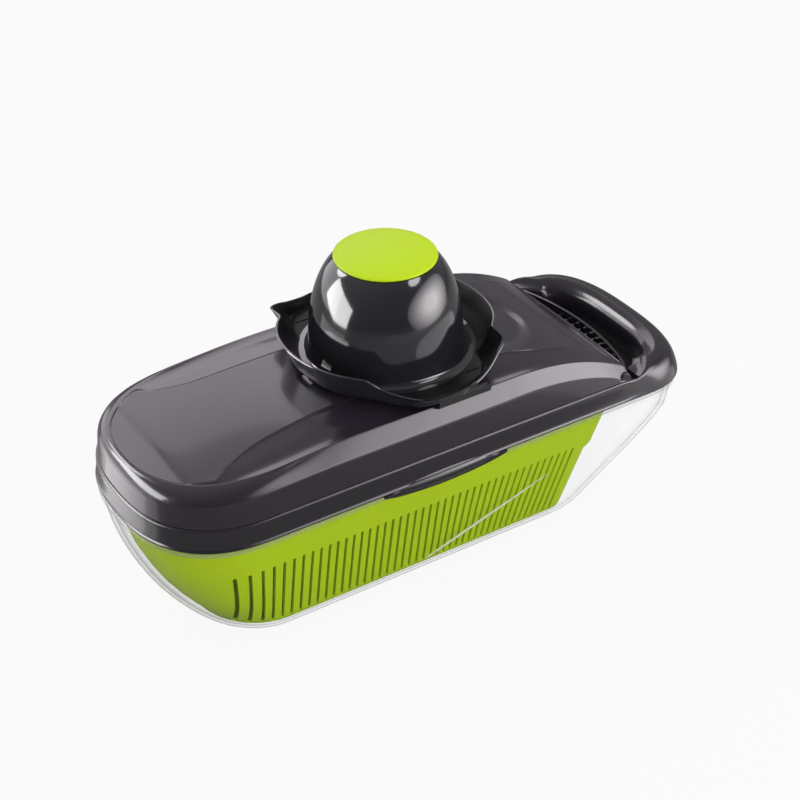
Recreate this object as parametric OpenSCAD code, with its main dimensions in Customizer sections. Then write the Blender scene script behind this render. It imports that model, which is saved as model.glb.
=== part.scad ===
// Mandoline slicer and dicer with a draining basket, a hinged press lid and a hand guard.
// The origin is under the middle of the slicer, where it rests. +X runs to the handle, +Z up.

/* [Overall] */
// Length from the rounded nose to the back of the handle
length = 325; // [310:1:340]
// Width over the bead round the cutter frame
width = 123; // [116:1:126]
// Height of the ledge that the lid closes on
ledge_z = 96; // [94:0.5:98]
// Height of the lid's crest over its side ridges
ridge_z = 120.6; // [119:0.1:123]

/* [Container] */
// Length of the flat base
base_length = 215; // [205:1:225]
// Half width of the flat base
base_half = 38.4; // [34:0.2:42]
// Wall thickness of the container
tub_wall = 2; // [1.6:0.1:2.4]
// Top of the container's rim band
rim_top = 82.6; // [82:0.2:83]

/* [Basket] */
// Gap between the container's outside and the basket's outside
basket_inset = 5.2; // [4.6:0.1:6]
// Wall thickness of the basket
basket_wall = 1.6; // [1.2:0.1:2]
// Distance from one drain slot to the next
slot_pitch = 5; // [4.4:0.1:6]
// Width of a drain slot
slot_w = 1.5; // [1:0.1:1.8]

/* [Frame and hinge] */
// Height of the lid's hinge axis
hinge_z = 96.4; // [96:0.1:97]
// Radius of the hinge pins
pin_r = 2; // [1.8:0.1:2.1]
// Radial gap round a turning or sliding pin
running_gap = 0.07; // [0.05:0.01:0.1]
// Depth of the handle bar from front to back
handle_depth = 21; // [19:0.5:23]

/* [Dicing and slicing inserts] */
// Distance from one dicing blade to the next
dice_pitch = 12; // [12:0.5:13]
// Thickness of the dicing blades
blade_t = 0.6; // [0.4:0.1:0.8]
// Height of a dicing blade
blade_h = 7; // [6:0.5:8]
// Angle of the slicing blade from straight across
slice_angle = 18; // [12:1:20]

/* [Lid and pusher] */
// Wall thickness of the lid
lid_wall = 2.2; // [1.8:0.1:2.6]
// Width of one pusher pin
pusher_w = 9.4; // [8.6:0.1:9.6]

/* [Hand guard] */
// Outer radius of the dome at its foot
dome_r = 40; // [38:0.5:41]
// Wall thickness of the guard
guard_wall = 2.2; // [1.8:0.1:2.6]
// Radius of the round part of the tray's rim
tray_r = 56.5; // [56:0.5:58]
// Height of the tray's rim
tray_z = 140.5; // [138:0.5:142]
// Radius of the cap
cap_r = 26.4; // [25:0.1:27]
// Radius of the plunger's stem
stem_r = 6; // [5:0.5:6.5]

/* [Hidden] */
$fn = 96;
eps = 0.01;

// Colours
clear_plastic = [0.92, 0.95, 0.96, 0.35];
basket_green = [0.56, 0.72, 0.1];
cap_green = [0.78, 0.92, 0.13];
frame_grey = [0.34, 0.31, 0.35];
lid_grey = [0.45, 0.42, 0.47];
guard_grey = [0.27, 0.27, 0.3];
steel = [0.78, 0.79, 0.8];

// Driving lines, all from the nose at -length/2
nose_x = -length / 2;
tail_x = length / 2;
half_w = width / 2;
hinge_x = nose_x + 270;
lid_gap = 0.3;

// ---------------------------------------------------------------- outlines and shells

// Points along half an outline: round the nose, along the side, round the tail
nose_n = 12;
side_n = 16;
tail_n = 10;
half_n = nose_n + side_n + tail_n;

function mix(a, b, k) = a + (b - a) * k;
function clamp01(k) = max(0, min(1, k));
function smooth(k) = let (c = clamp01(k)) c * c * (3 - 2 * c);

// An outline is [tip x, nose reach, nose half width, nose power, tail x, tail reach, tail half
// width, tail power]. Both ends are superellipse arcs, so every size of it nests in the next.
function outline_point(o, i) =
    i <= nose_n ?
        let (t = 90 * i / nose_n)
        [o[0] + o[1] * (1 - pow(cos(t), 2 / o[3])), -o[2] * pow(sin(t), 2 / o[3])] :
    i < nose_n + side_n ?
        let (k = (i - nose_n) / side_n)
        [mix(o[0] + o[1], o[4] - o[5], k), -mix(o[2], o[6], k)] :
        let (t = 90 * (half_n - i) / tail_n)
        [o[4] - o[5] * (1 - pow(cos(t), 2 / o[7])), -o[6] * pow(sin(t), 2 / o[7])];

// The same outline moved in by d all round
function inset(o, d) = [o[0] + d, o[1] - d, o[2] - d, o[3], o[4] - d, o[5] - d, o[6] - d, o[7]];

// A closed loop from its near half, which runs from the nose tip to the tail tip
function whole(half) =
    concat(half, [for (i = [len(half) - 2:-1:1]) [half[i][0], -half[i][1], half[i][2]]]);

function level_loop(o, z) =
    whole([for (i = [0:half_n]) let (p = outline_point(o, i)) [p[0], p[1], z]]);

function flat_loop(o) = [for (p = level_loop(o, 0)) [p[0], p[1]]];

// Faces between neighbouring loops of n points, numbered from loop first to loop last
function wall_faces(first, last, n) =
    [for (k = [first:last - 1], i = [0:n - 1])
        let (j = (i + 1) % n) [k * n + i, k * n + j, (k + 1) * n + j, (k + 1) * n + i]];

// Strips across loop k, from its near side to its far side
function strip_faces(k, n) =
    let (h = n / 2)
    concat([[k * n, k * n + 1, k * n + n - 1]],
           [for (i = [1:h - 2]) [k * n + i, k * n + i + 1, k * n + n - i - 1, k * n + n - i]],
           [[k * n + h - 1, k * n + h, k * n + h + 1]]);

function reversed(faces) = [for (f = faces) [for (i = [len(f) - 1:-1:0]) f[i]]];
function flattened(lists) = [for (l = lists, v = l) v];

// A shell open at its first loops and closed across its last ones. The loops go up when it
// opens downwards, and down when it opens upwards.
module shell(outer, inner, opens_up) {
    n = len(outer[0]);
    a = len(outer);
    b = len(inner);
    rim = [for (i = [0:n - 1]) let (j = (i + 1) % n) [a * n + i, a * n + j, j, i]];
    faces = concat(wall_faces(0, a - 1, n), strip_faces(a - 1, n),
                   reversed(wall_faces(a, a + b - 1, n)), reversed(strip_faces(a + b - 1, n)),
                   rim);
    polyhedron(concat(flattened(outer), flattened(inner)), opens_up ? faces : reversed(faces),
               convexity = 10);
}

// A closed ring: the loops are the corners of its section, in order
module ring(loops) {
    n = len(loops[0]);
    k = len(loops);
    faces = [for (a = [0:k - 1], i = [0:n - 1])
        let (j = (i + 1) % n, b = (a + 1) % k) [a * n + i, b * n + i, b * n + j, a * n + j]];
    polyhedron(flattened(loops), faces, convexity = 10);
}

module on_both_sides() {
    children();
    mirror([0, 1, 0]) children();
}

// ---------------------------------------------------------------- container and basket

// Outline of the container's outside at height z: it narrows and shortens to its base, and the
// tail runs in under the handle in an S
base_corner = 13;
base_nose = 41.7;
tail_start = 0.24;
function tub_outline(z, d) =
    let (k = clamp01(1 - z / rim_top),
         u = max(0, 1 - z / base_corner),
         t = max(0, (k - tail_start) / (1 - tail_start)),
         round_in = base_corner * (1 - sqrt(1 - u * u)),
         nose_in = base_nose * k * k,
         tail_all = length - 4 - base_nose - base_length - 2 * base_corner + 21,
         tail_in = (tail_all - 5) * mix(t, smooth(t), 0.33) + 5 * k,
         half = mix(half_w - 2, base_half, pow(k, 1.1)),
         in = d + round_in)
    [nose_x + 2 + nose_in + in, mix(55, 33, k) - in, half - in, mix(2.5, 1.95, k),
     tail_x - 2 - tail_in - in, mix(40, 27, k) - in, half - in, mix(2.75, 2.9, k)];

rim_band = 5.2;
tub_levels = [1, 0.94, 0.84, 0.7, 0.55, 0.4, 0.28, 0.18, 0.12, 0.07, 0.03, 0.01, 0];

module container() {
    neck = rim_top - rim_band;
    band = 1.4;
    outer = concat([level_loop(tub_outline(rim_top, 0.5 - band), rim_top),
                    level_loop(tub_outline(rim_top, -band), rim_top - 0.7),
                    level_loop(tub_outline(neck, -band), neck + 0.6),
                    level_loop(tub_outline(neck, 0.4 - band), neck)],
                   [for (l = tub_levels) level_loop(tub_outline(l * (neck - 0.4), 0), l * (neck - 0.4))]);
    inner = [for (l = concat([rim_top / neck], tub_levels))
        let (z = max(l * neck, tub_wall)) level_loop(tub_outline(l * neck, tub_wall), z)];
    color(clear_plastic) shell(outer, inner, true);
}

basket_top = 80;
basket_base = 5.4;
basket_tail = nose_x + 269;
slot_top = 66;
slot_foot = 11;
basket_half = 34.8;
basket_corner = 4;
rest_gap = 0.2;
function basket_outline(z, d) =
    let (k = clamp01(1 - z / basket_top), h = z - basket_base, u = clamp01(1 - h / basket_corner),
         in = d + basket_corner * (1 - sqrt(1 - u * u)), o = tub_outline(max(z, base_corner), 0),
         nose = o[0] + basket_inset + 15 * pow(clamp01(1 - z / base_corner), 1.5),
         half = mix(half_w - 2 - basket_inset, basket_half, k))
    [nose + in, o[1] - 3 - in, half - in, o[3],
     basket_tail + 3 * smooth((z - 50) / 4) - 15 * k - in, 14 - in, half - in, 3];

module basket_cup() {
    levels = [basket_top, 54, 50, 38, 18, 9.5, 7, basket_base];
    inner_levels = [basket_top, 54, 50, 38, 18, 10.5, 8.4, basket_base + basket_wall];
    shell([for (z = levels) level_loop(basket_outline(z, 0), z)],
          [for (z = inner_levels) level_loop(basket_outline(z, basket_wall), z)], true);
}

// How far the foot of a slot lies behind its top, by the top's place along the basket
function slot_lean(x) = lookup(x, [[-130, 13], [-94, 5], [-18, 1.7], [30, -4], [62, -12.6]]);

module side_slots() {
    for (i = [0:38]) {
        top = -132 + i * slot_pitch;
        foot = top + slot_lean(top);
        translate([0, half_w, 0]) rotate([90, 0, 0]) linear_extrude(2 * half_w)
            polygon([[foot, slot_foot], [foot + slot_w, slot_foot], [top + slot_w, slot_top],
                     [top, slot_top]]);
    }
}

module drain_basket() {
    feet = [[-95, -18], [-95, 18], [60, -24], [60, 24]];
    color(basket_green) {
        difference() {
            basket_cup();
            side_slots();
            for (x = [-96:11:70], y = [-21:14:21])
                translate([x, y - 5, basket_base - 1]) cube([2, 10, basket_wall + 2]);
        }
        for (f = feet)
            translate([f[0], f[1], tub_wall + rest_gap])
                cylinder(r = 3, h = basket_base - tub_wall - rest_gap + 0.4, $fn = 32);
    }
}

// ---------------------------------------------------------------- cutter frame

frame_outline = [nose_x, 57, half_w, 2.5, tail_x, 40, half_w, 2.75];
deck_z = 88.5;
deck_t = 2.5;

// Sections of the frame's ring as [inset, height]: a plain skirt with a ledge along the sides,
// and a rounded bar at the handle
skirt_section = [[0.8, 82.9], [0, 83.7], [0.8, 85], [1.1, 90], [1.3, 95.3], [1.9, 96],
                 [4, 96], [6, 96], [6.7, 95.2], [6.9, 87], [6.9, 79], [5.3, 79], [5.3, 82.9]];
bar_section = [[0.8, 82.9], [0, 83.7], [0.7, 87], [2.6, 92.4], [6, 96.6], [10.5, 98.2],
               [handle_depth - 6.2, 97.6], [handle_depth - 2.8, 94.8], [handle_depth - 0.8, 90.5],
               [handle_depth, 85], [handle_depth - 0.6, 77], [5.3, 79], [5.3, 82.9]];
// Section where the side rail widens to a flat ledge behind the hinge
ledge_section = [[0.8, 82.9], [0, 83.7], [0.8, 86], [1.1, 90.5], [1.4, 94.2], [2.2, 95.2],
                 [6, 95.2], [12, 95.2], [13.4, 94.4], [13.8, 87], [13.8, 79], [5.3, 79],
                 [5.3, 82.9]];
ledge_start = nose_x + 268;
bar_start = nose_x + 278;

function frame_loop(k) =
    let (a = skirt_section[k], l = ledge_section[k], b = bar_section[k])
    whole([for (i = [0:half_n])
        let (x = outline_point(frame_outline, i)[0], s = smooth((x - ledge_start) / 9),
             t = smooth((x - bar_start) / 18),
             p = outline_point(inset(frame_outline, mix(mix(a[0], l[0], s), b[0], t)), i))
        [p[0], p[1], mix(mix(a[1], l[1], s), b[1], t)]]);

module frame_ring() {
    ring([for (k = [0:len(skirt_section) - 1]) frame_loop(k)]);
}

// The two bays that the inserts drop into
bay_half = 47;
dice_bay = [nose_x + 30, nose_x + 166];
slice_bay = [nose_x + 172, nose_x + 262];
seat_w = 2.5;
insert_gap = 0.25;

module deck() {
    lip_r = 140;
    lip_x = nose_x + 288;
    intersection() {
        translate([0, 0, deck_z - deck_t])
            linear_extrude(deck_t) polygon(flat_loop(inset(frame_outline, 6.2)));
        translate([lip_x - lip_r, 0, deck_z - deck_t - 1]) cylinder(r = lip_r, h = deck_t + 2, $fn = 200);
    }
}

module bay_cut(bay) {
    translate([bay[0], -bay_half, deck_z - 1]) cube([bay[1] - bay[0], 2 * bay_half, 5]);
    translate([bay[0] + seat_w, -bay_half + seat_w, deck_z - deck_t - 1])
        cube([bay[1] - bay[0] - 2 * seat_w, 2 * (bay_half - seat_w), deck_t + 2]);
}

ear_r = 3.8;
ear_in = 55.2;
ear_out = 58.9;

module ear() {
    thick = ear_out - ear_in;
    translate([hinge_x, -ear_in, hinge_z]) rotate([90, 0, 0]) cylinder(r = ear_r, h = thick, $fn = 64);
    translate([hinge_x - ear_r, -ear_out, deck_z + 2]) cube([2 * ear_r, thick, hinge_z - deck_z - 2]);
}

module ear_bore() {
    translate([hinge_x, -50, hinge_z]) rotate([90, 0, 0])
        cylinder(r = pin_r + running_gap, h = 9.3, $fn = 64);
}

// Long finger grip on the skirt, turned about its own axis
grip_len = 78;
grip_x = nose_x + 155;
grip_z = 82.5;
module side_grip() {
    difference() {
        translate([grip_x - grip_len / 2, -half_w + 3.2, grip_z]) rotate([0, 90, 0])
            rotate_extrude($fn = 64)
                polygon([for (i = [0:24]) [4.6 * pow(sin(180 * i / 24), 0.6), grip_len * i / 24]]);
        translate([grip_x - grip_len, -half_w + 0.2, 60])
            cube([2 * grip_len, 20, rim_top + lid_gap - 60]);
    }
}

module rear_comb() {
    for (y = [-36:6:36])
        translate([nose_x + 279, y - 0.6, deck_z - 0.5]) cube([6.5, 1.2, 4]);
}

module rear_lip() {
    lip_r = 140;
    lip_x = nose_x + 288;
    intersection() {
        translate([lip_x - lip_r, 0, deck_z - deck_t]) difference() {
            cylinder(r = lip_r, h = ledge_z - deck_z + deck_t, $fn = 200);
            translate([0, 0, -1]) cylinder(r = lip_r - 1.4, h = 12, $fn = 200);
        }
        translate([nose_x + 268, -46, 0]) cube([40, 92, 120]);
    }
}

// Room beside each ear for the end of the lid to turn in
pocket_r = 9.4;
module hinge_pocket() {
    translate([hinge_x, -55, hinge_z]) rotate([-90, 0, 0])
        cylinder(r = pocket_r, h = 110, $fn = 96);
    on_both_sides() intersection() {
        translate([hinge_x, -59.4, hinge_z]) rotate([-90, 0, 0])
            cylinder(r = pocket_r, h = 10, $fn = 96);
        translate([hinge_x - 4.4, -65, 93.4]) cube([20, 20, 20]);
    }
}

module cutter_frame() {
    color(frame_grey) difference() {
        union() {
            difference() {
                frame_ring();
                hinge_pocket();
            }
            deck();
            rear_lip();
            rear_comb();
            on_both_sides() { ear(); side_grip(); }
        }
        bay_cut(dice_bay);
        bay_cut(slice_bay);
        on_both_sides() ear_bore();
    }
}

// ---------------------------------------------------------------- dicing insert

dice_margin = 8;
insert_z = deck_z - 1;
insert_t = 5;
dice_x = [dice_bay[0] + insert_gap, dice_bay[1] - insert_gap];
dice_half = bay_half - insert_gap;
dice_cols = floor((dice_x[1] - dice_x[0] - 2 * dice_margin) / dice_pitch);
dice_rows = floor((2 * dice_half - 2 * dice_margin) / dice_pitch);
dice_mid = (dice_x[0] + dice_x[1]) / 2;
dice_len = dice_cols * dice_pitch;
dice_wid = dice_rows * dice_pitch;
blade_z = insert_z + insert_t - 3.5;

module dicing_insert() {
    color(frame_grey) difference() {
        translate([dice_x[0], -dice_half, insert_z])
            cube([dice_x[1] - dice_x[0], 2 * dice_half, insert_t]);
        translate([dice_mid - dice_len / 2, -dice_wid / 2, insert_z - 1])
            cube([dice_len, dice_wid, insert_t + 2]);
        long_blade_row();
        cross_blade_row();
    }
}

// A blade along X from the origin, ground to an edge on top
module blade(len) {
    translate([0, blade_t / 2, 0]) rotate([90, 0, 0]) linear_extrude(blade_t)
        square([len, blade_h - 1.5]);
    translate([0, 0, blade_h - 1.5]) rotate([90, 0, 90]) linear_extrude(len)
        polygon([[-blade_t / 2, 0], [blade_t / 2, 0], [0.05, 1.5], [-0.05, 1.5]]);
}

blade_hold = 2.5;
lap_gap = 0.02;
module long_blade_row() {
    for (i = [0:dice_rows])
        translate([dice_mid - dice_len / 2 - blade_hold, (i - dice_rows / 2) * dice_pitch, blade_z])
            blade(dice_len + 2 * blade_hold);
}

module cross_blade_row() {
    for (i = [0:dice_cols])
        translate([dice_mid + (i - dice_cols / 2) * dice_pitch, -dice_wid / 2 - blade_hold, blade_z - 3])
            rotate([0, 0, 90]) blade(dice_wid + 2 * blade_hold);
}

module long_blades() { color(steel) long_blade_row(); }
module cross_blades() {
    color(steel) difference() {
        cross_blade_row();
        // Half-lap slots under the long blades
        for (i = [0:dice_rows])
            translate([dice_mid - dice_len / 2 - 5, (i - dice_rows / 2) * dice_pitch, blade_z])
                translate([0, -blade_t / 2 - lap_gap, 0])
                    cube([dice_len + 10, blade_t + 2 * lap_gap, blade_h]);
    }
}

// ---------------------------------------------------------------- slicing insert

slice_x = [slice_bay[0] + insert_gap, slice_bay[1] - insert_gap];
slice_mid = (slice_x[0] + slice_x[1]) / 2;
slice_drop = 1.8;
throat_w = 9;

module slicing_insert() {
    color(frame_grey) difference() {
        translate([slice_x[0], -dice_half, insert_z])
            cube([slice_x[1] - slice_x[0], 2 * dice_half, insert_t]);
        translate([slice_mid, 0, insert_z - 1]) rotate([0, 0, slice_angle])
            translate([-throat_w, -34, 0]) cube([throat_w, 68, insert_t + 2]);
        translate([slice_mid, 0, insert_z + insert_t - slice_drop]) rotate([0, 0, slice_angle])
            translate([-60, -39, 0]) cube([60, 78, slice_drop + 1]);
        translate([slice_mid, 0, insert_z + insert_t - 1.2]) rotate([0, 0, slice_angle])
            translate([-eps, -39, 0]) cube([12 + eps, 78, 2]);
    }
}

module slicing_blade() {
    color(steel) translate([slice_mid, 0, insert_z + insert_t - 1.2]) rotate([0, 0, slice_angle])
        rotate([90, 0, 0]) translate([0, 0, -38.5]) linear_extrude(77)
            polygon([[-4, 0.5], [0, 0], [11.8, 0], [11.8, 0.8], [0, 0.8], [-4, 0.6]]);
}

module blade_rivets() {
    color(steel) translate([slice_mid, 0, insert_z + insert_t - 0.4]) rotate([0, 0, slice_angle])
        for (y = [-33, 33]) translate([7, y, 0]) cylinder(r1 = 2.4, r2 = 1.9, h = 0.7, $fn = 32);
}

// ---------------------------------------------------------------- lid

lid_foot = ledge_z + lid_gap;
lid_tail = 275;
crown = 2.9;
wall_outline = [nose_x + 2.4, 55, half_w - 1.9, 2.5, nose_x + lid_tail - 0.4, 3, half_w - 1.9, 6];
ridge_outline = [nose_x + 7, 66, 53.4, 2.3, nose_x + lid_tail - 0.4, 3, 54.4, 6];

// Heights along the lid, where u is the distance from the nose
function ridge_height(u) =
    u < 112 ? ridge_z - 2.95 * (1 - cos(180 * min(1, (112 - u) / 105))) :
    u < 200 ? ridge_z : ridge_z - 18.5 * pow((u - 200) / 72, 2.25);
function crown_height(u) = crown * pow(sin(180 * clamp01((u - 22) / (lid_tail - 22))), 0.6);
function lid_top(u) = ridge_height(u) + crown_height(u);
function wall_height(u) =
    max(lid_foot + 0.6, ridge_height(u) - mix(9.3, 6, clamp01((u - 200) / 75)));
function crease_half(u) =
    lookup(u, [[7, 60], [30, 48], [45, 38], [60, 32.4], [75, 30.3], [105, 28.2], [150, 28],
               [205, 36], [235, 42], [260, 47], [275, 54]]);

// A point of a lid outline, with the back edge bowed out in the middle
function lid_point(o, i) =
    let (p = outline_point(o, i),
         bow = i > nose_n + side_n ? 2.4 * max(0, 1 - pow(p[1] / 50, 2)) : 0)
    [p[0] + bow, p[1]];

// Loop k of the way from the top of the wall to the ridge, flat along the sides and round at
// the nose, moved in and down by d
function bevel_loop(k, d) =
    whole([for (i = [0:half_n])
        let (a = lid_point(inset(wall_outline, 0.7 + d), i),
             b = lid_point(inset(ridge_outline, d), i), u = b[0] - nose_x,
             round_share = 1 - smooth((u - 30) / 70),
             across = mix(k, 1 - cos(90 * k), round_share), up = mix(k, sin(90 * k), round_share))
        [mix(a[0], b[0], across), mix(a[1], b[1], across),
         max(lid_foot + 0.2, mix(wall_height(u), ridge_height(u), up) - d)]]);

function crease_loop(d) =
    whole([for (i = [0:half_n])
        let (p = lid_point(inset(ridge_outline, d), i),
             q = lid_point(inset(ridge_outline, d + 0.8), i), u = p[0] - nose_x)
        [q[0], -min(-q[1], crease_half(u)), max(lid_foot + 0.2, lid_top(u) - d)]]);

boss_places = [[dice_mid - 45, -24], [dice_mid - 45, 24], [dice_mid + 45, -24], [dice_mid + 45, 24]];
boss_r = 4;
peg_r = 2;
pusher_z = 112.5;
pusher_t = 2;

module hinge_arm() {
    translate([hinge_x, -50.3, hinge_z]) rotate([90, 0, 0]) cylinder(r = 3.9, h = 3.8, $fn = 64);
    translate([hinge_x - 10, -54.1, lid_foot + 0.4]) cube([10, 3.8, 3.2]);
}

module lid_shell() {
    color(lid_grey) difference() {
        union() {
            shell(concat([level_loop(wall_outline, lid_foot)],
                         [for (k = [0, 1/3, 2/3, 1]) bevel_loop(k, 0)], [crease_loop(0)]),
                  concat([level_loop(inset(wall_outline, lid_wall), lid_foot)],
                         [for (k = [0, 1]) bevel_loop(k, lid_wall)], [crease_loop(lid_wall)]), false);
            for (p = boss_places) {
                boss_z = pusher_z + pusher_t;
                translate([p[0], p[1], boss_z])
                    cylinder(r = boss_r, h = lid_top(p[0] - nose_x) - lid_wall / 2 - boss_z, $fn = 48);
                translate([p[0], p[1], pusher_z]) cylinder(r = peg_r, h = pusher_t + 1, $fn = 32);
            }
            on_both_sides() hinge_arm();
        }
        on_both_sides() {
            translate([hinge_x, -54.6, hinge_z]) rotate([90, 0, 0]) cylinder(r = 6.4, h = 10, $fn = 64);
            translate([hinge_x, -64.6, 80]) cube([20, 10, 30]);
            translate([hinge_x, -48, hinge_z]) rotate([90, 0, 0]) cylinder(r = pin_r, h = 10, $fn = 64);
        }
    }
}

module hinge_pin() {
    translate([hinge_x, -50.3, hinge_z]) rotate([90, 0, 0]) cylinder(r = pin_r, h = 8.9, $fn = 64);
}

module hinge_pin_near() { color(lid_grey) hinge_pin(); }
module hinge_pin_far() { color(lid_grey) mirror([0, 1, 0]) hinge_pin(); }

pusher_len = dice_len + 4;
pusher_wid = dice_wid + 4;
pin_foot = 91;

module at_dice_cells() {
    for (i = [0:dice_cols - 1], j = [0:dice_rows - 1])
        translate([dice_mid + (i + 0.5 - dice_cols / 2) * dice_pitch,
                   (j + 0.5 - dice_rows / 2) * dice_pitch, 0])
            children();
}

module pusher_grid() {
    color(frame_grey) difference() {
        union() {
            translate([dice_mid - pusher_len / 2, -pusher_wid / 2, pusher_z])
                cube([pusher_len, pusher_wid, pusher_t]);
            at_dice_cells() translate([-pusher_w / 2, -pusher_w / 2, pin_foot])
                cube([pusher_w, pusher_w, pusher_z - pin_foot + 0.5]);
        }
        for (p = boss_places) translate([p[0], p[1], pusher_z - 8])
            cylinder(r = peg_r + 0.05, h = 20, $fn = 32);
    }
}

comb_z = 108.5;
comb_t = 3;
module cleaning_grid() {
    hole = pusher_w + 1;
    color(basket_green) difference() {
        union() {
            translate([dice_mid - pusher_len / 2, -pusher_wid / 2, comb_z])
                cube([pusher_len, pusher_wid, comb_t]);
            for (y = [-pusher_wid / 2, pusher_wid / 2]) translate([dice_mid, y, comb_z])
                cylinder(r = 9, h = comb_t, $fn = 48);
        }
        at_dice_cells() translate([-hole / 2, -hole / 2, comb_z - 1]) cube([hole, hole, comb_t + 2]);
    }
}

// ---------------------------------------------------------------- hand guard

guard_x = nose_x + 157.5;
tray_floor = ridge_z + crown + lid_gap;
tray_t = 2;
dome_foot = tray_floor + 1;
dome_h = 62;
dome_power = 2.6;
dome_top = 178;
tray_n = 120;

// Radius and height of the tray's rim by angle, over half a turn. The other half repeats it: a
// round stretch, a notch, a low lobe and a raised spout tip.
rim_radius = [[0, 0], [47, -0.2], [52, -1], [56, -1.5], [62, -0.7], [68, 1], [76, 4], [107, 4.8],
              [124, 5.1], [130, 5.7], [134, 5], [138, 1.5], [142, -1.2], [150, -0.5], [160, 0.3],
              [180, 0]];
rim_drop = [[0, 0], [47, 0], [52, 3], [56, 6], [62, 8.2], [68, 9.5], [76, 10.5], [100, 10.5],
            [107, 10], [116, 7.5], [124, 4], [130, 2], [134, 1], [142, 0], [180, 0]];
lobe_share = [[0, 0], [50, 0], [62, 1], [118, 1], [140, 0], [180, 0]];

function half_turn(a) = a - 180 * floor(a / 180);
function rim_r(a) = tray_r + lookup(half_turn(a), rim_radius);
function rim_z(a) = tray_z - lookup(half_turn(a), rim_drop);
function foot_r(a) = mix(49, rim_r(a) - 3.6, lookup(half_turn(a), lobe_share));
function around(r, a) = [guard_x + r * cos(a), r * sin(a)];
function tray_loop(move, at_rim) =
    [for (i = [0:tray_n - 1])
        let (a = 360 * i / tray_n, p = around((at_rim ? rim_r(a) : foot_r(a)) - move, a))
        [p[0], p[1], at_rim ? rim_z(a) : tray_floor + (move > 0 ? tray_t : 0)]];

function dome_radius(z, d) =
    (dome_r - d) * pow(1 - pow(clamp01((z - dome_foot) / (dome_h - d)), dome_power), 1 / dome_power);

module dome() {
    steps = 16;
    inner_top = dome_top - guard_wall;
    outer = [for (i = [1:steps])
        let (z = mix(dome_foot, dome_top, i / steps)) [dome_radius(z, 0), z]];
    inner = [for (i = [steps:-1:0])
        let (z = mix(tray_floor + 0.2, inner_top, i / steps)) [dome_radius(z, guard_wall), z]];
    translate([guard_x, 0, 0]) rotate_extrude($fn = 96)
        polygon(concat([[dome_r + 2, tray_floor + 1], [dome_r + 2, tray_floor + tray_t + 0.2],
                        [dome_r + 0.6, tray_floor + tray_t + 0.8]],
                       outer, [[0, dome_top], [0, inner_top]], inner));
}

function dome_loop(z) =
    [for (i = [0:tray_n - 1]) let (p = around(dome_r - 1, 360 * i / tray_n)) [p[0], p[1], z]];

module tray() {
    ring([tray_loop(0, false), tray_loop(0, true), tray_loop(1.6, true), tray_loop(1.8, false),
          dome_loop(tray_floor + tray_t), dome_loop(tray_floor)]);
}

module runner() {
    translate([guard_x - 5, 0, 0]) rotate([90, 0, 90]) linear_extrude(31)
        polygon([[-54.4, tray_floor + 1], [-54.4, 120.4], [-55.6, 119.4], [-57.2, 120.6],
                 [-57.6, tray_floor + 1]]);
}

module both_turns() {
    children();
    translate([guard_x, 0, 0]) rotate([0, 0, 180]) translate([-guard_x, 0, 0]) children();
}

module guard_body() {
    collar_r = stem_r + 3;
    collar_h = 9;
    color(guard_grey) difference() {
        union() {
            dome();
            tray();
            both_turns() runner();
            translate([guard_x, 0, dome_top - collar_h])
                cylinder(r = collar_r, h = collar_h - 0.5, $fn = 64);
        }
        translate([guard_x, 0, dome_top - 20]) cylinder(r = stem_r + running_gap, h = 30, $fn = 96);
        both_turns() {
            for (s = [[6, -48], [24, -44]])
                translate([guard_x + s[0] - 4, s[1], tray_floor - 1]) cube([8, 0.9, tray_t + 2]);
            translate([guard_x - 53, -6, tray_floor - 1]) cube([8, 12, tray_t + 2]);
        }
    }
}

cap_z = dome_top + lid_gap;
cap_t = 1.6;
cap_crown = 2.2;
socket = 1.8;
module guard_cap() {
    color(cap_green) translate([guard_x, 0, cap_z]) difference() {
        rotate_extrude($fn = 96)
            polygon(concat([[0, 0], [cap_r - 1, 0], [cap_r, 0.6], [cap_r, cap_t - 0.5]],
                           [for (i = [8:-1:0]) let (r = (cap_r - 0.6) * i / 8)
                               [r, cap_t + cap_crown * (1 - pow(i / 8, 2))]]));
        translate([0, 0, -1]) cylinder(r = stem_r, h = socket + 1, $fn = 96);
    }
}

plate_z = 133;
plate_t = 2.2;
plate_r = 29;
screw_r = 1.9;
spike_r = 0.8;
spike_foot = tray_floor + 0.4;

module plunger_stem() {
    foot = plate_z + plate_t;
    color(basket_green) translate([guard_x, 0, 0]) difference() {
        translate([0, 0, foot]) cylinder(r = stem_r, h = cap_z + socket - foot, $fn = 96);
        translate([0, 0, foot - 1]) cylinder(r = screw_r + 0.03, h = 15, $fn = 48);
    }
}

module at_spikes() {
    for (ring_r = [11, 23], i = [0:(ring_r < 20 ? 5 : 11)])
        translate([guard_x, 0, 0]) rotate([0, 0, i * (ring_r < 20 ? 60 : 30)])
            translate([ring_r, 0, 0]) children();
}

module spike_plate() {
    color(basket_green) difference() {
        union() {
            translate([guard_x, 0, plate_z]) cylinder(r = plate_r, h = plate_t, $fn = 96);
            translate([guard_x, 0, plate_z - 2.4]) difference() {
                cylinder(r = plate_r, h = 3, $fn = 96);
                translate([0, 0, -1]) cylinder(r = plate_r - 1.6, h = 5, $fn = 96);
            }
        }
        translate([guard_x, 0, plate_z - 5]) cylinder(r = screw_r + 0.2, h = 12, $fn = 48);
        at_spikes() translate([0, 0, plate_z - 1]) cylinder(r = spike_r, h = plate_t + 2, $fn = 24);
    }
}

module food_spikes() {
    color(steel) at_spikes() {
        translate([0, 0, spike_foot + 2])
            cylinder(r = spike_r, h = plate_z + plate_t - spike_foot - 2, $fn = 24);
        translate([0, 0, spike_foot]) cylinder(r1 = 0.15, r2 = spike_r, h = 2, $fn = 24);
    }
}

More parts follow.
